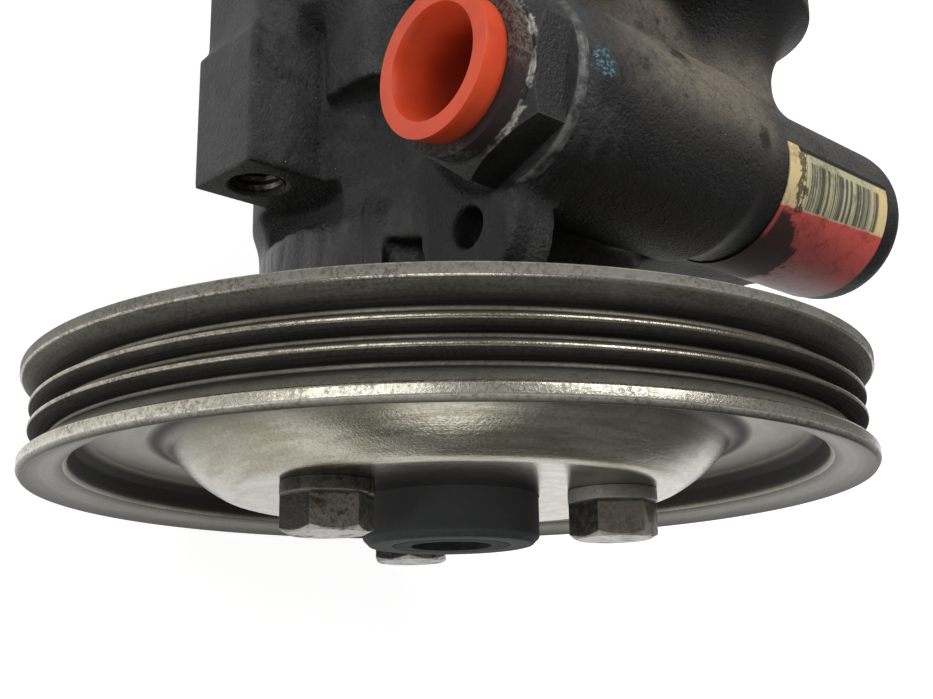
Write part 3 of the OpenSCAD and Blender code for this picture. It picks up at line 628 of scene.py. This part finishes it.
def pulleySteel(k):
    made, tree, shader, vector = startMaterial("pulleySteel", Specular_IOR_Level=0.1)
    marks = turned(tree, vector, 2.6, 3.0)
    value = {}
    for name in ("grooveDirt", "grooveDepthShade", "rimWear", "rimDullAndReflection", "lipGlint", "dishShade", "webReflection"):
        value[name] = addNode(tree, "Attribute", attribute_name=name).outputs["Fac"]
    tone = blend(tree, rise(tree, marks["Tone"], 0.40, 0.68), k["steel"], k["straw"])
    cloud = patches(tree, vector, 0.06, 0.42, 0.60)
    tone = blend(tree, times(tree, cloud, 0.6), tone, k["straw"])
    sand = rise(tree, noise(tree, vector, 2.2, 4.0, 0.75), 0.46, 0.66)
    tone = blend(tree, times(tree, sand, 0.35), tone, k["rust"])
    # the rim face and rear outer band are darkened as dull steel and painted dark reflection, with a
    # lighter painted reflection band across the face; the dome's flank gets painted shade
    tone = blend(tree, value["rimDullAndReflection"], tone, k["dull"])
    # painted reflection: the web and the front lip's outer band are lightened
    tone = blend(tree, times(tree, value["webReflection"], 0.75), tone, k["highlight"])
    # worn lips: fine dark grain and rust specks
    grain = rise(tree, noise(tree, vector, 1.7, 5.0, 0.8), 0.44, 0.58)
    stain = patches(tree, vector, 0.13, 0.36, 0.58)
    pitted = scaled(tree, times(tree, grain, stain), 0.60, 0.06)
    dots = specks(tree, vector, 0.55, 0.15, 0.04)
    dirty = most(tree, times(tree, value["rimWear"], pitted), times(tree, dots, 0.5))
    tone = blend(tree, dirty, tone, k["rust"])
    tone = blend(tree, times(tree, value["dishShade"], 0.95, clamp=True), tone, k["shade"])
    # painted highlights along the lip edges, less where the rim is dirty
    tone = blend(tree, times(tree, value["lipGlint"], minus(tree, 0.9, dirty)), tone, k["highlight"])
    streak = scaled(tree, marks["Height"], 0.35, 0.80)
    caked = times(tree, value["grooveDirt"], streak, clamp=True)
    # the groove grime turns darker with depth as painted shade
    dirtTone = blend(tree, value["grooveDepthShade"], k["grimeTone"], k["depthShadeTone"])
    tone = blend(tree, caked, tone, dirtTone)
    feed(shader, "Base Color", tone)
    covered = most(tree, caked, times(tree, dirty, 0.8))
    covered = most(tree, covered, times(tree, value["rimDullAndReflection"], 0.58))
    covered = most(tree, covered, times(tree, value["dishShade"], 0.9, clamp=True))
    feed(shader, "Metallic", scaled(tree, covered, -0.95, 1.0, clamp=True))
    satin = scaled(tree, marks["Height"], 0.10, 0.16)
    matte = scaled(tree, caked, 0.36, scaled(tree, covered, 0.36, satin))
    feed(shader, "Roughness", calc(tree, "MINIMUM", matte, 1.0))
    dimples = scaled(tree, noise(tree, vector, 2.6, 3.0, 0.6), 0.55, times(tree, marks["Height"], 0.3))
    bump(tree, shader, dimples, 0.00014, 0.5)
    return made


def makePulley(k):
    outline = softCorners(pulleyOutline(k) * mm, k["corner"] * mm)
    points, quads, r, y = turnedPoints(outline, k["steps"])
    made = putMesh("pulleyTurned", points, quads, 60)
    r, off = r / mm, y / mm - k["front"]
    g = k["middle"] + k["pitch"] * np.array([-1.0, 1.0])
    back = k["rim"] + k["rearLip"]
    top = np.where(off < g[0], k["rim"] - 0.3, np.where(off > g[1], back - 0.3, k["crest"]))
    inGroove = (off > 1.0 + k["lip"]) & (off < k["width"] - k["lip"] - 0.1) & (r > k["root"] - 0.3)
    low = np.clip((top - r - 0.04) / 0.2, 0, 1)
    low = low * (1 - 0.6 * np.clip((k["root"] + 0.12 - r) / 0.1, 0, 1))  # the roots are rubbed by the belt
    corners = np.array([(k["rim"], 0.9), (back, k["width"] - k["lip"]), (back - 0.1, k["width"] - 0.1)])
    away = np.hypot(r[:, None] - corners[:, 0], off[:, None] - corners[:, 1]).min(1)
    front = off < k["webSet"] + 0.1
    dish = front & (r > k["dish"][0]) & (r < k["dish"][1])
    wall = np.clip((r - k["wallFrom"]) / 2.8, 0, 1) * np.clip((off - 1.9) / 1.2, 0, 1)
    foot = np.exp(-((r - k["dome"] - 0.2) / 1.9) ** 2) * front * (off > 3.0)
    face = (off < 2.2) & (r > k["inside"] + 0.5) & (r < k["rim"] - 0.02)
    band = (off > k["width"] - k["lip"] - 0.1) & (r > k["rim"] - 1.0)
    lip = (off > 0.8) & (off < k["lip"] + 1.1) & (r > k["rim"] - 0.4)
    # painted shade on the dome's flank
    side = np.clip((r - k["flankShadeFrom"]) / 4.0, 0, 1) * np.clip((k["webFrom"] - r) / 2.0, 0, 1) * front
    # the rim face: darker away from a lighter painted reflection band round its middle radius
    faceDullAndReflection = np.where(face, 0.55 + 0.45 * np.clip(np.abs(r - k["reflectionBandAt"]) / 2.5, 0, 1), 0.0)
    web = np.clip((r - k["webFrom"]) / 1.5, 0, 1) * np.clip((k["webTo"] - r) / 2.0, 0, 1) * front
    rows = {
        "grooveDirt": np.where(inGroove, low, 0.0),
        "grooveDepthShade": np.where(inGroove, np.clip((top - r - 0.6) / 1.8, 0, 1), 0.0),
        "rimWear": np.clip((r - k["inside"] - 2.0) / 4.0, 0, 1),
        "rimDullAndReflection": faceDullAndReflection + 1.7 * band + 0.45 * side,
        "lipGlint": np.exp(-(away / 0.3) ** 2) * np.where(off > g[1], 0.45, 1.0),
        "webReflection": web + 0.3 * lip,
        "dishShade": np.where(dish, wall, 0.0) + foot,
    }
    for name, values in rows.items():
        giveValues(made, name, np.repeat(values, k["steps"]))
    made.data.materials.append(pulleySteel(k))
    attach(made, "shaft")
    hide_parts("pulley")
    print("pulley:", len(quads), "faces")


makePulley(pulleyTurned)


# threads: an inner wall whose radius is a rounded sawtooth of (turn / 2 pi + depth / pitch)
threads = {
    "earLeft": {"at": (-earX, 0, 0), "sign": 1.0, "depth": 17.0, "body": "pump", "slot": "housing_iron"},
    "earRight": {"at": (earX, 0, 0), "sign": 1.0, "depth": 17.0, "body": "pump", "slot": "housing_iron"},
    "rearStay": {"at": columnAt, "sign": -1.0, "depth": 17.0, "body": "pump", "slot": "housing_iron"},
    "puller": {"at": (0, -53.5, 0), "sign": 1.0, "depth": 18.0, "body": "shaft", "slot": "shaft_steel"},
}
threadShape = {
    "radius": 4.2, "pitch": 1.5, "tooth": 0.42, "start": 0.35, "rings": 150, "steps": 48,
    "steel": colour(0.17, 0.16, 0.145), "dirt": colour(0.03, 0.027, 0.024),
}


def threadSteel(k):
    made, tree, shader, vector = startMaterial("threadSteel", Metallic=0.7)
    dirt = patches(tree, vector, 0.4, 0.4, 0.62)
    feed(shader, "Base Color", blend(tree, dirt, k["steel"], k["dirt"]))
    feed(shader, "Roughness", scaled(tree, dirt, 0.3, 0.38))
    bump(tree, shader, noise(tree, vector, 3.0), 0.00008, 0.5)
    return made


def makeThreads():
    form = threadShape
    steel = threadSteel(form)
    quads = gridQuads(form["rings"], form["steps"], False, True)
    for name, k in threads.items():
        turn = np.linspace(0, 2 * np.pi, form["steps"], endpoint=False)[None, :]
        deep = np.linspace(form["start"], k["depth"], form["rings"])[:, None]
        phase = (deep / form["pitch"] + turn / (2 * np.pi)) % 1.0
        tooth = np.abs(2 * phase - 1) ** 0.8  # 0 at the crest, 1 at the root
        fade = np.clip(deep / 1.2, 0, 1)
        r = form["radius"] - form["tooth"] * (1 - tooth) * fade
        points = np.stack([r * np.sin(turn), k["sign"] * (deep + 0 * turn), r * np.cos(turn)], -1)
        points = (points.reshape(-1, 3) + np.array(k["at"])) * mm
        made = putMesh("thread_" + name, points, quads if k["sign"] < 0 else quads[:, ::-1], 80)
        made.data.materials.append(steel)
        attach(made, k["body"])
    print("threads:", len(threads))


makeThreads()


# CAD nodes keep their meshes: a weld and a narrow bevel soften the edges, a new material covers them
def dress(name, material, edge=0.0):
    made = nodes[name]
    made.data.materials.clear()
    made.data.materials.append(material)
    if edge:
        made.modifiers.new("join", "WELD").merge_threshold = 0.004 * mm
        soft = made.modifiers.new("soften", "BEVEL")
        soft.width = edge * mm
        soft.segments = 2
        soft.limit_method = "ANGLE"
        soft.angle_limit = math.radians(38)
        soft.harden_normals = False


# pulley hub: blackened steel, fine turning marks
hubBlack = {
    "black": colour(0.054, 0.056, 0.0565), "worn": colour(0.068, 0.070, 0.070),
    "scuff": colour(0.034, 0.036, 0.035), "rubbed": colour(0.10, 0.105, 0.105), "edge": 0.25,
}


def hubFinish(k):
    made, tree, shader, vector = startMaterial("hubBlack", Specular_IOR_Level=0.08)
    marks = turned(tree, vector, 4.0, 2.0)
    rub = rubbed(tree, vector, 0.0005)
    cloud = patches(tree, vector, 0.12, 0.45, 0.66)
    tone = blend(tree, times(tree, cloud, 0.5), k["black"], k["worn"])
    tone = blend(tree, times(tree, rub, 0.6), tone, k["rubbed"])
    r, along = roundShaft(tree, vector)
    face = rise(tree, along, hubFront + 1.2, hubFront + 0.2)
    scuffed = times(tree, face, rise(tree, noise(tree, vector, 1.1, 5.0, 0.75), 0.36, 0.56))
    tone = blend(tree, times(tree, scuffed, 0.85), tone, k["scuff"])
    gap = times(tree, rise(tree, r, 11.9, 11.3), face)
    tone = blend(tree, times(tree, gap, 0.92), tone, k["black"])
    feed(shader, "Base Color", tone)
    feed(shader, "Roughness", scaled(tree, marks["Height"], 0.2, 0.58))
    bump(tree, shader, marks["Height"], 0.0001, 0.35)
    return made


dress("pulley_hub", hubFinish(hubBlack), hubBlack["edge"])


# shaft: ground steel gone dull
shaftSteel = {
    "steel": colour(0.030, 0.032, 0.031), "stain": colour(0.016, 0.017, 0.016),
    "rim": colour(0.015, 0.015, 0.016), "edge": 0.15,
}


def shaftFinish(k):
    made, tree, shader, vector = startMaterial("shaftSteel", Specular_IOR_Level=0.06)
    marks = turned(tree, vector, 5.0, 2.0)
    stain = patches(tree, vector, 0.2, 0.42, 0.64)
    r = roundShaft(tree, vector)[0]
    tone = blend(tree, stain, k["steel"], k["stain"])
    tone = blend(tree, rise(tree, r, 9.2, 9.7), tone, k["rim"])
    feed(shader, "Base Color", tone)
    feed(shader, "Metallic", scaled(tree, stain, -0.08, 0.10))
    feed(shader, "Roughness", scaled(tree, marks["Height"], 0.2, 0.62))
    bump(tree, shader, marks["Height"], 0.0001, 0.3)
    return made


dress("drive_shaft", shaftFinish(shaftSteel), shaftSteel["edge"])


# bolts and spring washers: worn zinc, brown with dirt and rust, with painted black shade on the facets that
# look left and in the joints under the heads, and painted highlights on the chamfers that look forwards and
# round one bolt
boltZinc = {
    "zinc": colour(0.40, 0.37, 0.305), "brown": colour(0.036, 0.029, 0.020),
    "black": colour(0.007, 0.007, 0.006), "light": colour(0.33, 0.33, 0.30),
    "edge": 0.3, "washerEdge": 0.2, "seat": -49.5,
    "shadedSide": (-0.736, 0.016, -0.677), "chamfer": (0.0, -1.0, 0.0), "litPatchAt": (15.7, -47.5, 23.2),
}


def boltFinish(k):
    made, tree, shader, vector = startMaterial("boltZinc", Specular_IOR_Level=0.15)
    cloud = patches(tree, vector, 0.20, 0.46, 0.62)
    fine = patches(tree, vector, 0.9, 0.48, 0.62)
    rub = rubbed(tree, vector, 0.0006)
    # a painted pool of light round one bolt: less dirt and soot there and a lighter washer
    litPatch = markAt(tree, vector, k["litPatchAt"], 15.0)
    dirt = most(tree, times(tree, cloud, 0.9), times(tree, fine, 0.75))
    dirt = times(tree, dirt, scaled(tree, litPatch, -0.4, 1.0))
    tone = blend(tree, dirt, k["zinc"], k["brown"])
    dots = specks(tree, vector, 0.9, 0.3, 0.12)
    tone = blend(tree, times(tree, dots, 0.8), tone, k["black"])
    along = roundShaft(tree, vector)[1]
    washer = rise(tree, along, k["seat"] - 0.1, k["seat"] + 0.1)
    # painted shade on the facets that look left, mixed with soot on the washers
    sootAndShade = times(tree, facing(tree, k["shadedSide"], 0.18, 0.5), scaled(tree, fine, -0.3, 1.0))
    sootAndShade = most(tree, sootAndShade, times(tree, washer, scaled(tree, litPatch, -0.7, 0.85)))
    # painted shadow in the joint between washer and head
    jointShadow = rise(tree, along, k["seat"] - 0.8, k["seat"] - 0.3)
    sootAndShade = most(tree, sootAndShade, times(tree, jointShadow, scaled(tree, washer, -0.9, 0.9)))
    tone = blend(tree, times(tree, sootAndShade, 0.93), tone, k["black"])
    # painted highlight on the chamfers that look forwards
    clear = facing(tree, k["chamfer"], 0.45, 0.8)
    light = most(tree, times(tree, clear, scaled(tree, cloud, -0.6, 0.8)), times(tree, rub, 0.55))
    light = most(tree, light, times(tree, times(tree, washer, litPatch), 0.85))
    tone = blend(tree, light, tone, k["light"])
    feed(shader, "Base Color", tone)
    clean = minus(tree, 1.0, most(tree, times(tree, dirt, 0.8), sootAndShade))
    feed(shader, "Metallic", most(tree, clean, times(tree, rub, 0.8)))
    feed(shader, "Roughness", scaled(tree, dirt, 0.3, 0.33))
    bump(tree, shader, plus(tree, dirt, noise(tree, vector, 2.5)), 0.00012, 0.5)
    return made


zinc = boltFinish(boltZinc)
dress("pulley_bolts", zinc, boltZinc["edge"])
dress("spring_washers", zinc, boltZinc["washerEdge"])


# outlet union: oily black hexagon, crusted collar that is tan above and grey below
unionBlack = {
    "black": colour(0.010, 0.010, 0.010), "grey": colour(0.017, 0.017, 0.0165),
    "tan": colour(0.125, 0.088, 0.066), "plum": colour(0.026, 0.015, 0.016),
    "ash": colour(0.090, 0.088, 0.083), "crust": colour(0.38, 0.37, 0.34),
    "rubbed": colour(0.10, 0.10, 0.097), "collarFrom": -35.5, "edge": 0.3,
}


def unionFinish(k):
    made, tree, shader, vector = startMaterial("unionBlack", Specular_IOR_Level=0.35)
    along, r, angle = roundValve(tree, vector)
    cloud = patches(tree, vector, 0.16, 0.42, 0.66)
    rub = rubbed(tree, vector, 0.0006)
    tone = blend(tree, cloud, k["black"], k["grey"])
    tone = blend(tree, times(tree, rub, 0.5), tone, k["rubbed"])
    wobble = scaled(tree, noise(tree, vector, 0.5, 4.0, 0.65), 1.6, -0.8)
    x = plus(tree, along, wobble)
    collar = rise(tree, x, k["collarFrom"] + 0.2, k["collarFrom"] - 0.4)
    grains = rise(tree, noise(tree, vector, 1.3, 5.0, 0.75), 0.42, 0.58)
    upper = rise(tree, angle, 205.0, 180.0)
    lower = rise(tree, angle, 255.0, 272.0)
    collarTone = blend(tree, upper, k["plum"], k["tan"])
    collarTone = blend(tree, lower, collarTone, k["ash"])
    collarTone = blend(tree, grains, collarTone, k["plum"])
    tone = blend(tree, collar, tone, collarTone)
    start = k["collarFrom"]
    band = times(tree, rise(tree, x, start - 0.6, start - 0.2), rise(tree, x, start + 0.35, start + 0.05))
    broken = rise(tree, noise(tree, vector, 0.26, 5.0, 0.7), 0.44, 0.58)
    side = times(tree, rise(tree, angle, 262.0, 248.0), rise(tree, angle, 60.0, 90.0))
    crust = times(tree, times(tree, band, broken), times(tree, side, rise(tree, r, 10.8, 11.6)))
    tone = blend(tree, times(tree, crust, 0.95), tone, k["crust"])
    feed(shader, "Base Color", tone)
    oily = scaled(tree, cloud, 0.18, 0.36)
    rough = most(tree, oily, times(tree, most(tree, collar, crust), 0.85))
    feed(shader, "Roughness", rough)
    height = scaled(tree, crust, 1.2, noise(tree, vector, 1.6, 5.0, 0.65))
    bump(tree, shader, height, 0.0004, 0.6)
    return made


dress("outlet_union", unionFinish(unionBlack), unionBlack["edge"])


# transport cap: soft orange-red moulding, with painted shade deep in its hollow
capPlastic = {
    "orange": colour(0.66, 0.074, 0.024), "deep": colour(0.56, 0.054, 0.014),
    "inside": colour(0.22, 0.020, 0.007), "dirt": colour(0.12, 0.03, 0.02),
    "hollow": (-39.0, -33.0), "edge": 0.35,
}


def capFinish(k):
    made, tree, shader, vector = startMaterial(
        "capPlastic", Specular_IOR_Level=0.3, Subsurface_Weight=0.25, Subsurface_Scale=0.004)
    shader.inputs["Subsurface Radius"].default_value = (1.0, 0.22, 0.08)
    shade = noise(tree, vector, 0.12, 3.0)
    tone = blend(tree, rise(tree, shade, 0.4, 0.65), k["orange"], k["deep"])
    along, r, angle = roundValve(tree, vector)
    # painted shade deep inside the cap
    hollow = times(tree, rise(tree, along, *k["hollow"]), rise(tree, r, 8.7, 8.3))
    tone = blend(tree, times(tree, hollow, 0.85), tone, k["inside"])
    dirt = patches(tree, vector, 0.22, 0.60, 0.74)
    tone = blend(tree, times(tree, dirt, 0.45), tone, k["dirt"])
    feed(shader, "Base Color", tone)
    feed(shader, "Roughness", scaled(tree, noise(tree, vector, 0.9), 0.2, 0.32))
    bump(tree, shader, noise(tree, vector, 1.2, 4.0), 0.00008, 0.4)
    return made


dress("transport_cap", capFinish(capPlastic), capPlastic["edge"])


# label: cream field with plain stripes above, red field below, worn black at its left end
labelFilm = {
    "cream": colour(0.70, 0.54, 0.28), "pale": colour(0.46, 0.43, 0.27), "ink": colour(0.055, 0.055, 0.040),
    "red": colour(0.56, 0.085, 0.070), "faded": colour(0.30, 0.19, 0.17),
    "stain": colour(0.012, 0.011, 0.010),
    "start": 171.0, "turn": 130.0, "strip": 24.6, "bars": (26.2, 49.2), "edge": 51.4,
    "top": 0.06, "split": 0.358, "slope": -0.0014,
}


def labelPrint(k):
    made, tree, shader, vector = startMaterial("labelFilm", Specular_IOR_Level=0.4)
    along, r, angle = roundValve(tree, vector)
    down = calc(tree, "DIVIDE", minus(tree, angle, k["start"]), k["turn"])  # 0 at the upper edge
    split = scaled(tree, along, k["slope"], k["split"])
    # stripes of uneven width: a noise on x alone, cut into ink and paper
    flat = addNode(tree, "CombineXYZ", {0: along, 1: 0.0, 2: 0.0}).outputs[0]
    stripes = rise(tree, noise(tree, flat, 0.72, 2.0, 0.8), 0.43, 0.55)
    left, right = k["bars"]
    field = rise(tree, along, left - 0.1, left + 0.1)
    field = times(tree, field, rise(tree, along, right + 0.1, right - 0.1))
    above = rise(tree, minus(tree, down, split), 0.0, -0.012)
    field = times(tree, field, times(tree, rise(tree, down, k["top"], k["top"] + 0.012), above))
    paper = blend(tree, rise(tree, along, 25.0, 28.0), k["cream"], k["pale"])
    paper = blend(tree, rise(tree, along, 46.0, 50.0), paper, k["cream"])
    tone = blend(tree, times(tree, times(tree, stripes, field), 0.9), paper, k["ink"])
    ragged = scaled(tree, noise(tree, vector, 0.5, 3.0), 0.02, minus(tree, minus(tree, down, split), 0.01))
    tone = blend(tree, rise(tree, ragged, -0.006, 0.006), tone, k["red"])
    pale = rise(tree, noise(tree, vector, 0.2, 4.0, 0.65), 0.34, 0.56)
    pale = times(tree, rise(tree, down, 0.60, 0.78), pale)
    tone = blend(tree, times(tree, pale, 0.8), tone, k["faded"])
    smear = patches(tree, vector, 0.2, 0.46, 0.66)
    tone = blend(tree, times(tree, smear, 0.5), tone, k["stain"])
    # wear: a stain that starts at the left edge and spreads down the red field
    edge = scaled(tree, noise(tree, vector, 0.45, 5.0, 0.7), 9.0, minus(tree, along, 4.5))
    front = scaled(tree, rise(tree, down, 0.30, 0.62), 8.5, 24.4)
    bare = times(tree, rise(tree, minus(tree, edge, front), 1.0, -0.6), rise(tree, down, 0.33, 0.37))
    kept = times(tree, rise(tree, along, 22.6, 22.1), rise(tree, down, 0.54, 0.46))
    bare = times(tree, bare, minus(tree, 1.0, times(tree, kept, 0.85)))
    seam = rise(tree, calc(tree, "ABSOLUTE", minus(tree, edge, 25.4)), 1.0, 0.5)
    seam = times(tree, seam, rise(tree, down, 0.36, 0.33))
    gone = most(tree, bare, times(tree, seam, 0.9))
    tone = blend(tree, times(tree, gone, 0.93), tone, k["stain"])
    margin = most(tree, rise(tree, down, 0.032, 0.02), rise(tree, along, k["edge"] + 0.1, k["edge"] + 0.4))
    tone = blend(tree, times(tree, margin, calc(tree, "GREATER_THAN", along, k["strip"])), tone, k["stain"])
    dots = specks(tree, vector, 0.6, 0.16, 0.06)
    tone = blend(tree, times(tree, dots, 0.8), tone, k["stain"])
    feed(shader, "Base Color", tone)
    feed(shader, "Roughness", scaled(tree, gone, 0.2, 0.42))
    bump(tree, shader, scaled(tree, gone, -0.8, noise(tree, vector, 1.5, 4.0)), 0.0001, 0.5)
    return made


dress("label", labelPrint(labelFilm))


# steels of the inside, the springs, the rear cover and the suction pipe
def plainSteel(name, tone, dirtTone, rough, dirtLow=0.45):
    made, tree, shader, vector = startMaterial(name)
    dirt = patches(tree, vector, 0.1, dirtLow, dirtLow + 0.2)
    marks = turned(tree, vector, 3.0, 2.0)
    feed(shader, "Base Color", blend(tree, times(tree, dirt, 0.8), tone, dirtTone))
    feed(shader, "Metallic", scaled(tree, dirt, -0.5, 1.0))
    feed(shader, "Roughness", scaled(tree, marks["Height"], 0.2, rough))
    bump(tree, shader, marks["Height"], 0.00008, 0.35)
    return made


def plainRubber(name, tone):
    made, tree, shader, vector = startMaterial(name, Specular_IOR_Level=0.35)
    dust = patches(tree, vector, 0.3, 0.5, 0.7)
    feed(shader, "Base Color", blend(tree, times(tree, dust, 0.4), tone, colour(0.08, 0.075, 0.07)))
    feed(shader, "Roughness", scaled(tree, dust, 0.2, 0.5))
    bump(tree, shader, noise(tree, vector, 2.0), 0.00006, 0.4)
    return made


groundSteel = plainSteel("groundSteel", colour(0.50, 0.50, 0.50), colour(0.20, 0.19, 0.17), 0.22)
springSteel = plainSteel("springSteel", colour(0.16, 0.16, 0.165), colour(0.06, 0.05, 0.04), 0.32)
coverSteel = plainSteel("coverSteel", colour(0.30, 0.295, 0.28), colour(0.085, 0.07, 0.05), 0.32, 0.38)
pipeZinc = plainSteel("pipeZinc", colour(0.42, 0.415, 0.39), colour(0.16, 0.13, 0.09), 0.3, 0.42)
bushBronze = plainSteel("bushBronze", colour(0.48, 0.30, 0.13), colour(0.20, 0.12, 0.05), 0.3)
sealRubber = plainRubber("sealRubber", colour(0.045, 0.030, 0.026))
ringRubber = plainRubber("ringRubber", colour(0.018, 0.018, 0.018))

groundPieces = (
    "thrust_plate", "cam_ring", "rotor", "vanes", "pressure_plate", "dowel_pins", "flow_spool",
    "relief_ball", "relief_plug",
)
for name in groundPieces:
    dress(name, groundSteel)
for name in ("shaft_snap_ring", "plate_spring", "retaining_ring", "flow_spring", "relief_spring"):
    dress(name, springSteel)
dress("end_cover", coverSteel, 0.3)
dress("inlet_pipe", pipeZinc)
dress("front_bush", bushBronze)
dress("shaft_seal", sealRubber)
dress("end_cover_o_ring", ringRubber)
dress("union_o_ring", ringRubber)
print("materials:", len(bpy.data.materials))


# stage: a white floor that keeps a soft shadow, plain lamps and the photograph's camera
studio = {
    "floorAt": -0.0735, "floorLow": (-0.90, -0.28), "floorHigh": (1.20, 1.20),
    "floorTone": colour(0.50, 0.50, 0.50), "floorGlow": 0.85,
    "world": 0.20,
    "key": {"from": (0.52, -0.36, 0.78), "away": 0.75, "size": 0.5, "watts": 2.5},
    "low": {"from": (-0.30, -0.72, 0.78), "away": 0.6, "size": 0.12, "watts": 0.25},
    "table": {"from": (-0.76, 0.0, 0.62), "away": 0.7, "size": 0.34, "watts": 1.1},
    "fill": {"from": (0.62, 0.62, 0.48), "away": 0.8, "size": 0.5, "watts": 4.9},
}
photoView = {
    "place": (-0.1466, -0.0793, 0.1628),
    "right": (0.736237, -0.016293, 0.676528),
    "up": (-0.163617, 0.965765, 0.201316),
    "lens": 48.953,
}


def makeStage(k, view):
    (x0, y0), (x1, y1), z = k["floorLow"], k["floorHigh"], k["floorAt"]
    corners = np.array([(x0, y0, z), (x1, y0, z), (x1, y1, z), (x0, y1, z)])
    floor = putMesh("floor", corners, np.array([[0, 1, 2, 3]]))
    paper, tree, shader, vector = startMaterial("floorPaper", Roughness=0.9, Specular_IOR_Level=0.0)
    shader.inputs["Base Color"].default_value = k["floorTone"]
    path = addNode(tree, "LightPath").outputs
    seen = most(tree, path["Is Camera Ray"], most(tree, path["Is Glossy Ray"], path["Is Transmission Ray"]))
    shader.inputs["Emission Color"].default_value = colour(1, 1, 1)
    feed(shader, "Emission Strength", times(tree, seen, k["floorGlow"]))
    floor.data.materials.append(paper)

    world = bpy.data.worlds.new("studio")
    world.use_nodes = True
    back = world.node_tree.nodes["Background"]
    back.inputs["Color"].default_value = colour(1, 1, 1)
    back.inputs["Strength"].default_value = k["world"]
    scene.world = world

    right, up = np.array(view["right"]), np.array(view["up"])
    toward = np.cross(right, up)
    turn = Matrix(np.stack([right, up, toward], 1).tolist()).to_4x4()
    camera = bpy.data.cameras.new("photoView")
    camera.sensor_width = 36.0
    camera.lens = view["lens"]
    camera.clip_start = 0.01
    held = putObject("photoView", camera)
    held.matrix_world = Matrix.Translation(view["place"]) @ turn
    scene.camera = held

    # each lamp's place is given as (image up, image right, towards the camera)
    for name in ("key", "low", "table", "fill"):
        lampData = k[name]
        u, r, t = lampData["from"]
        aim = u * up + r * right + t * toward
        aim = aim / np.linalg.norm(aim)
        lamp = bpy.data.lights.new(name, "AREA")
        lamp.size = lampData["size"]
        lamp.energy = lampData["watts"]
        made = putObject(name, lamp)
        place = aim * lampData["away"]
        side = np.cross((0.0, 0.0, 1.0), aim)
        side = side / np.linalg.norm(side)
        turn = Matrix(np.stack([side, np.cross(aim, side), aim], 1).tolist()).to_4x4()
        made.matrix_world = Matrix.Translation(place.tolist()) @ turn
    print("stage: floor, world, camera and four lamps")


makeStage(studio, photoView)
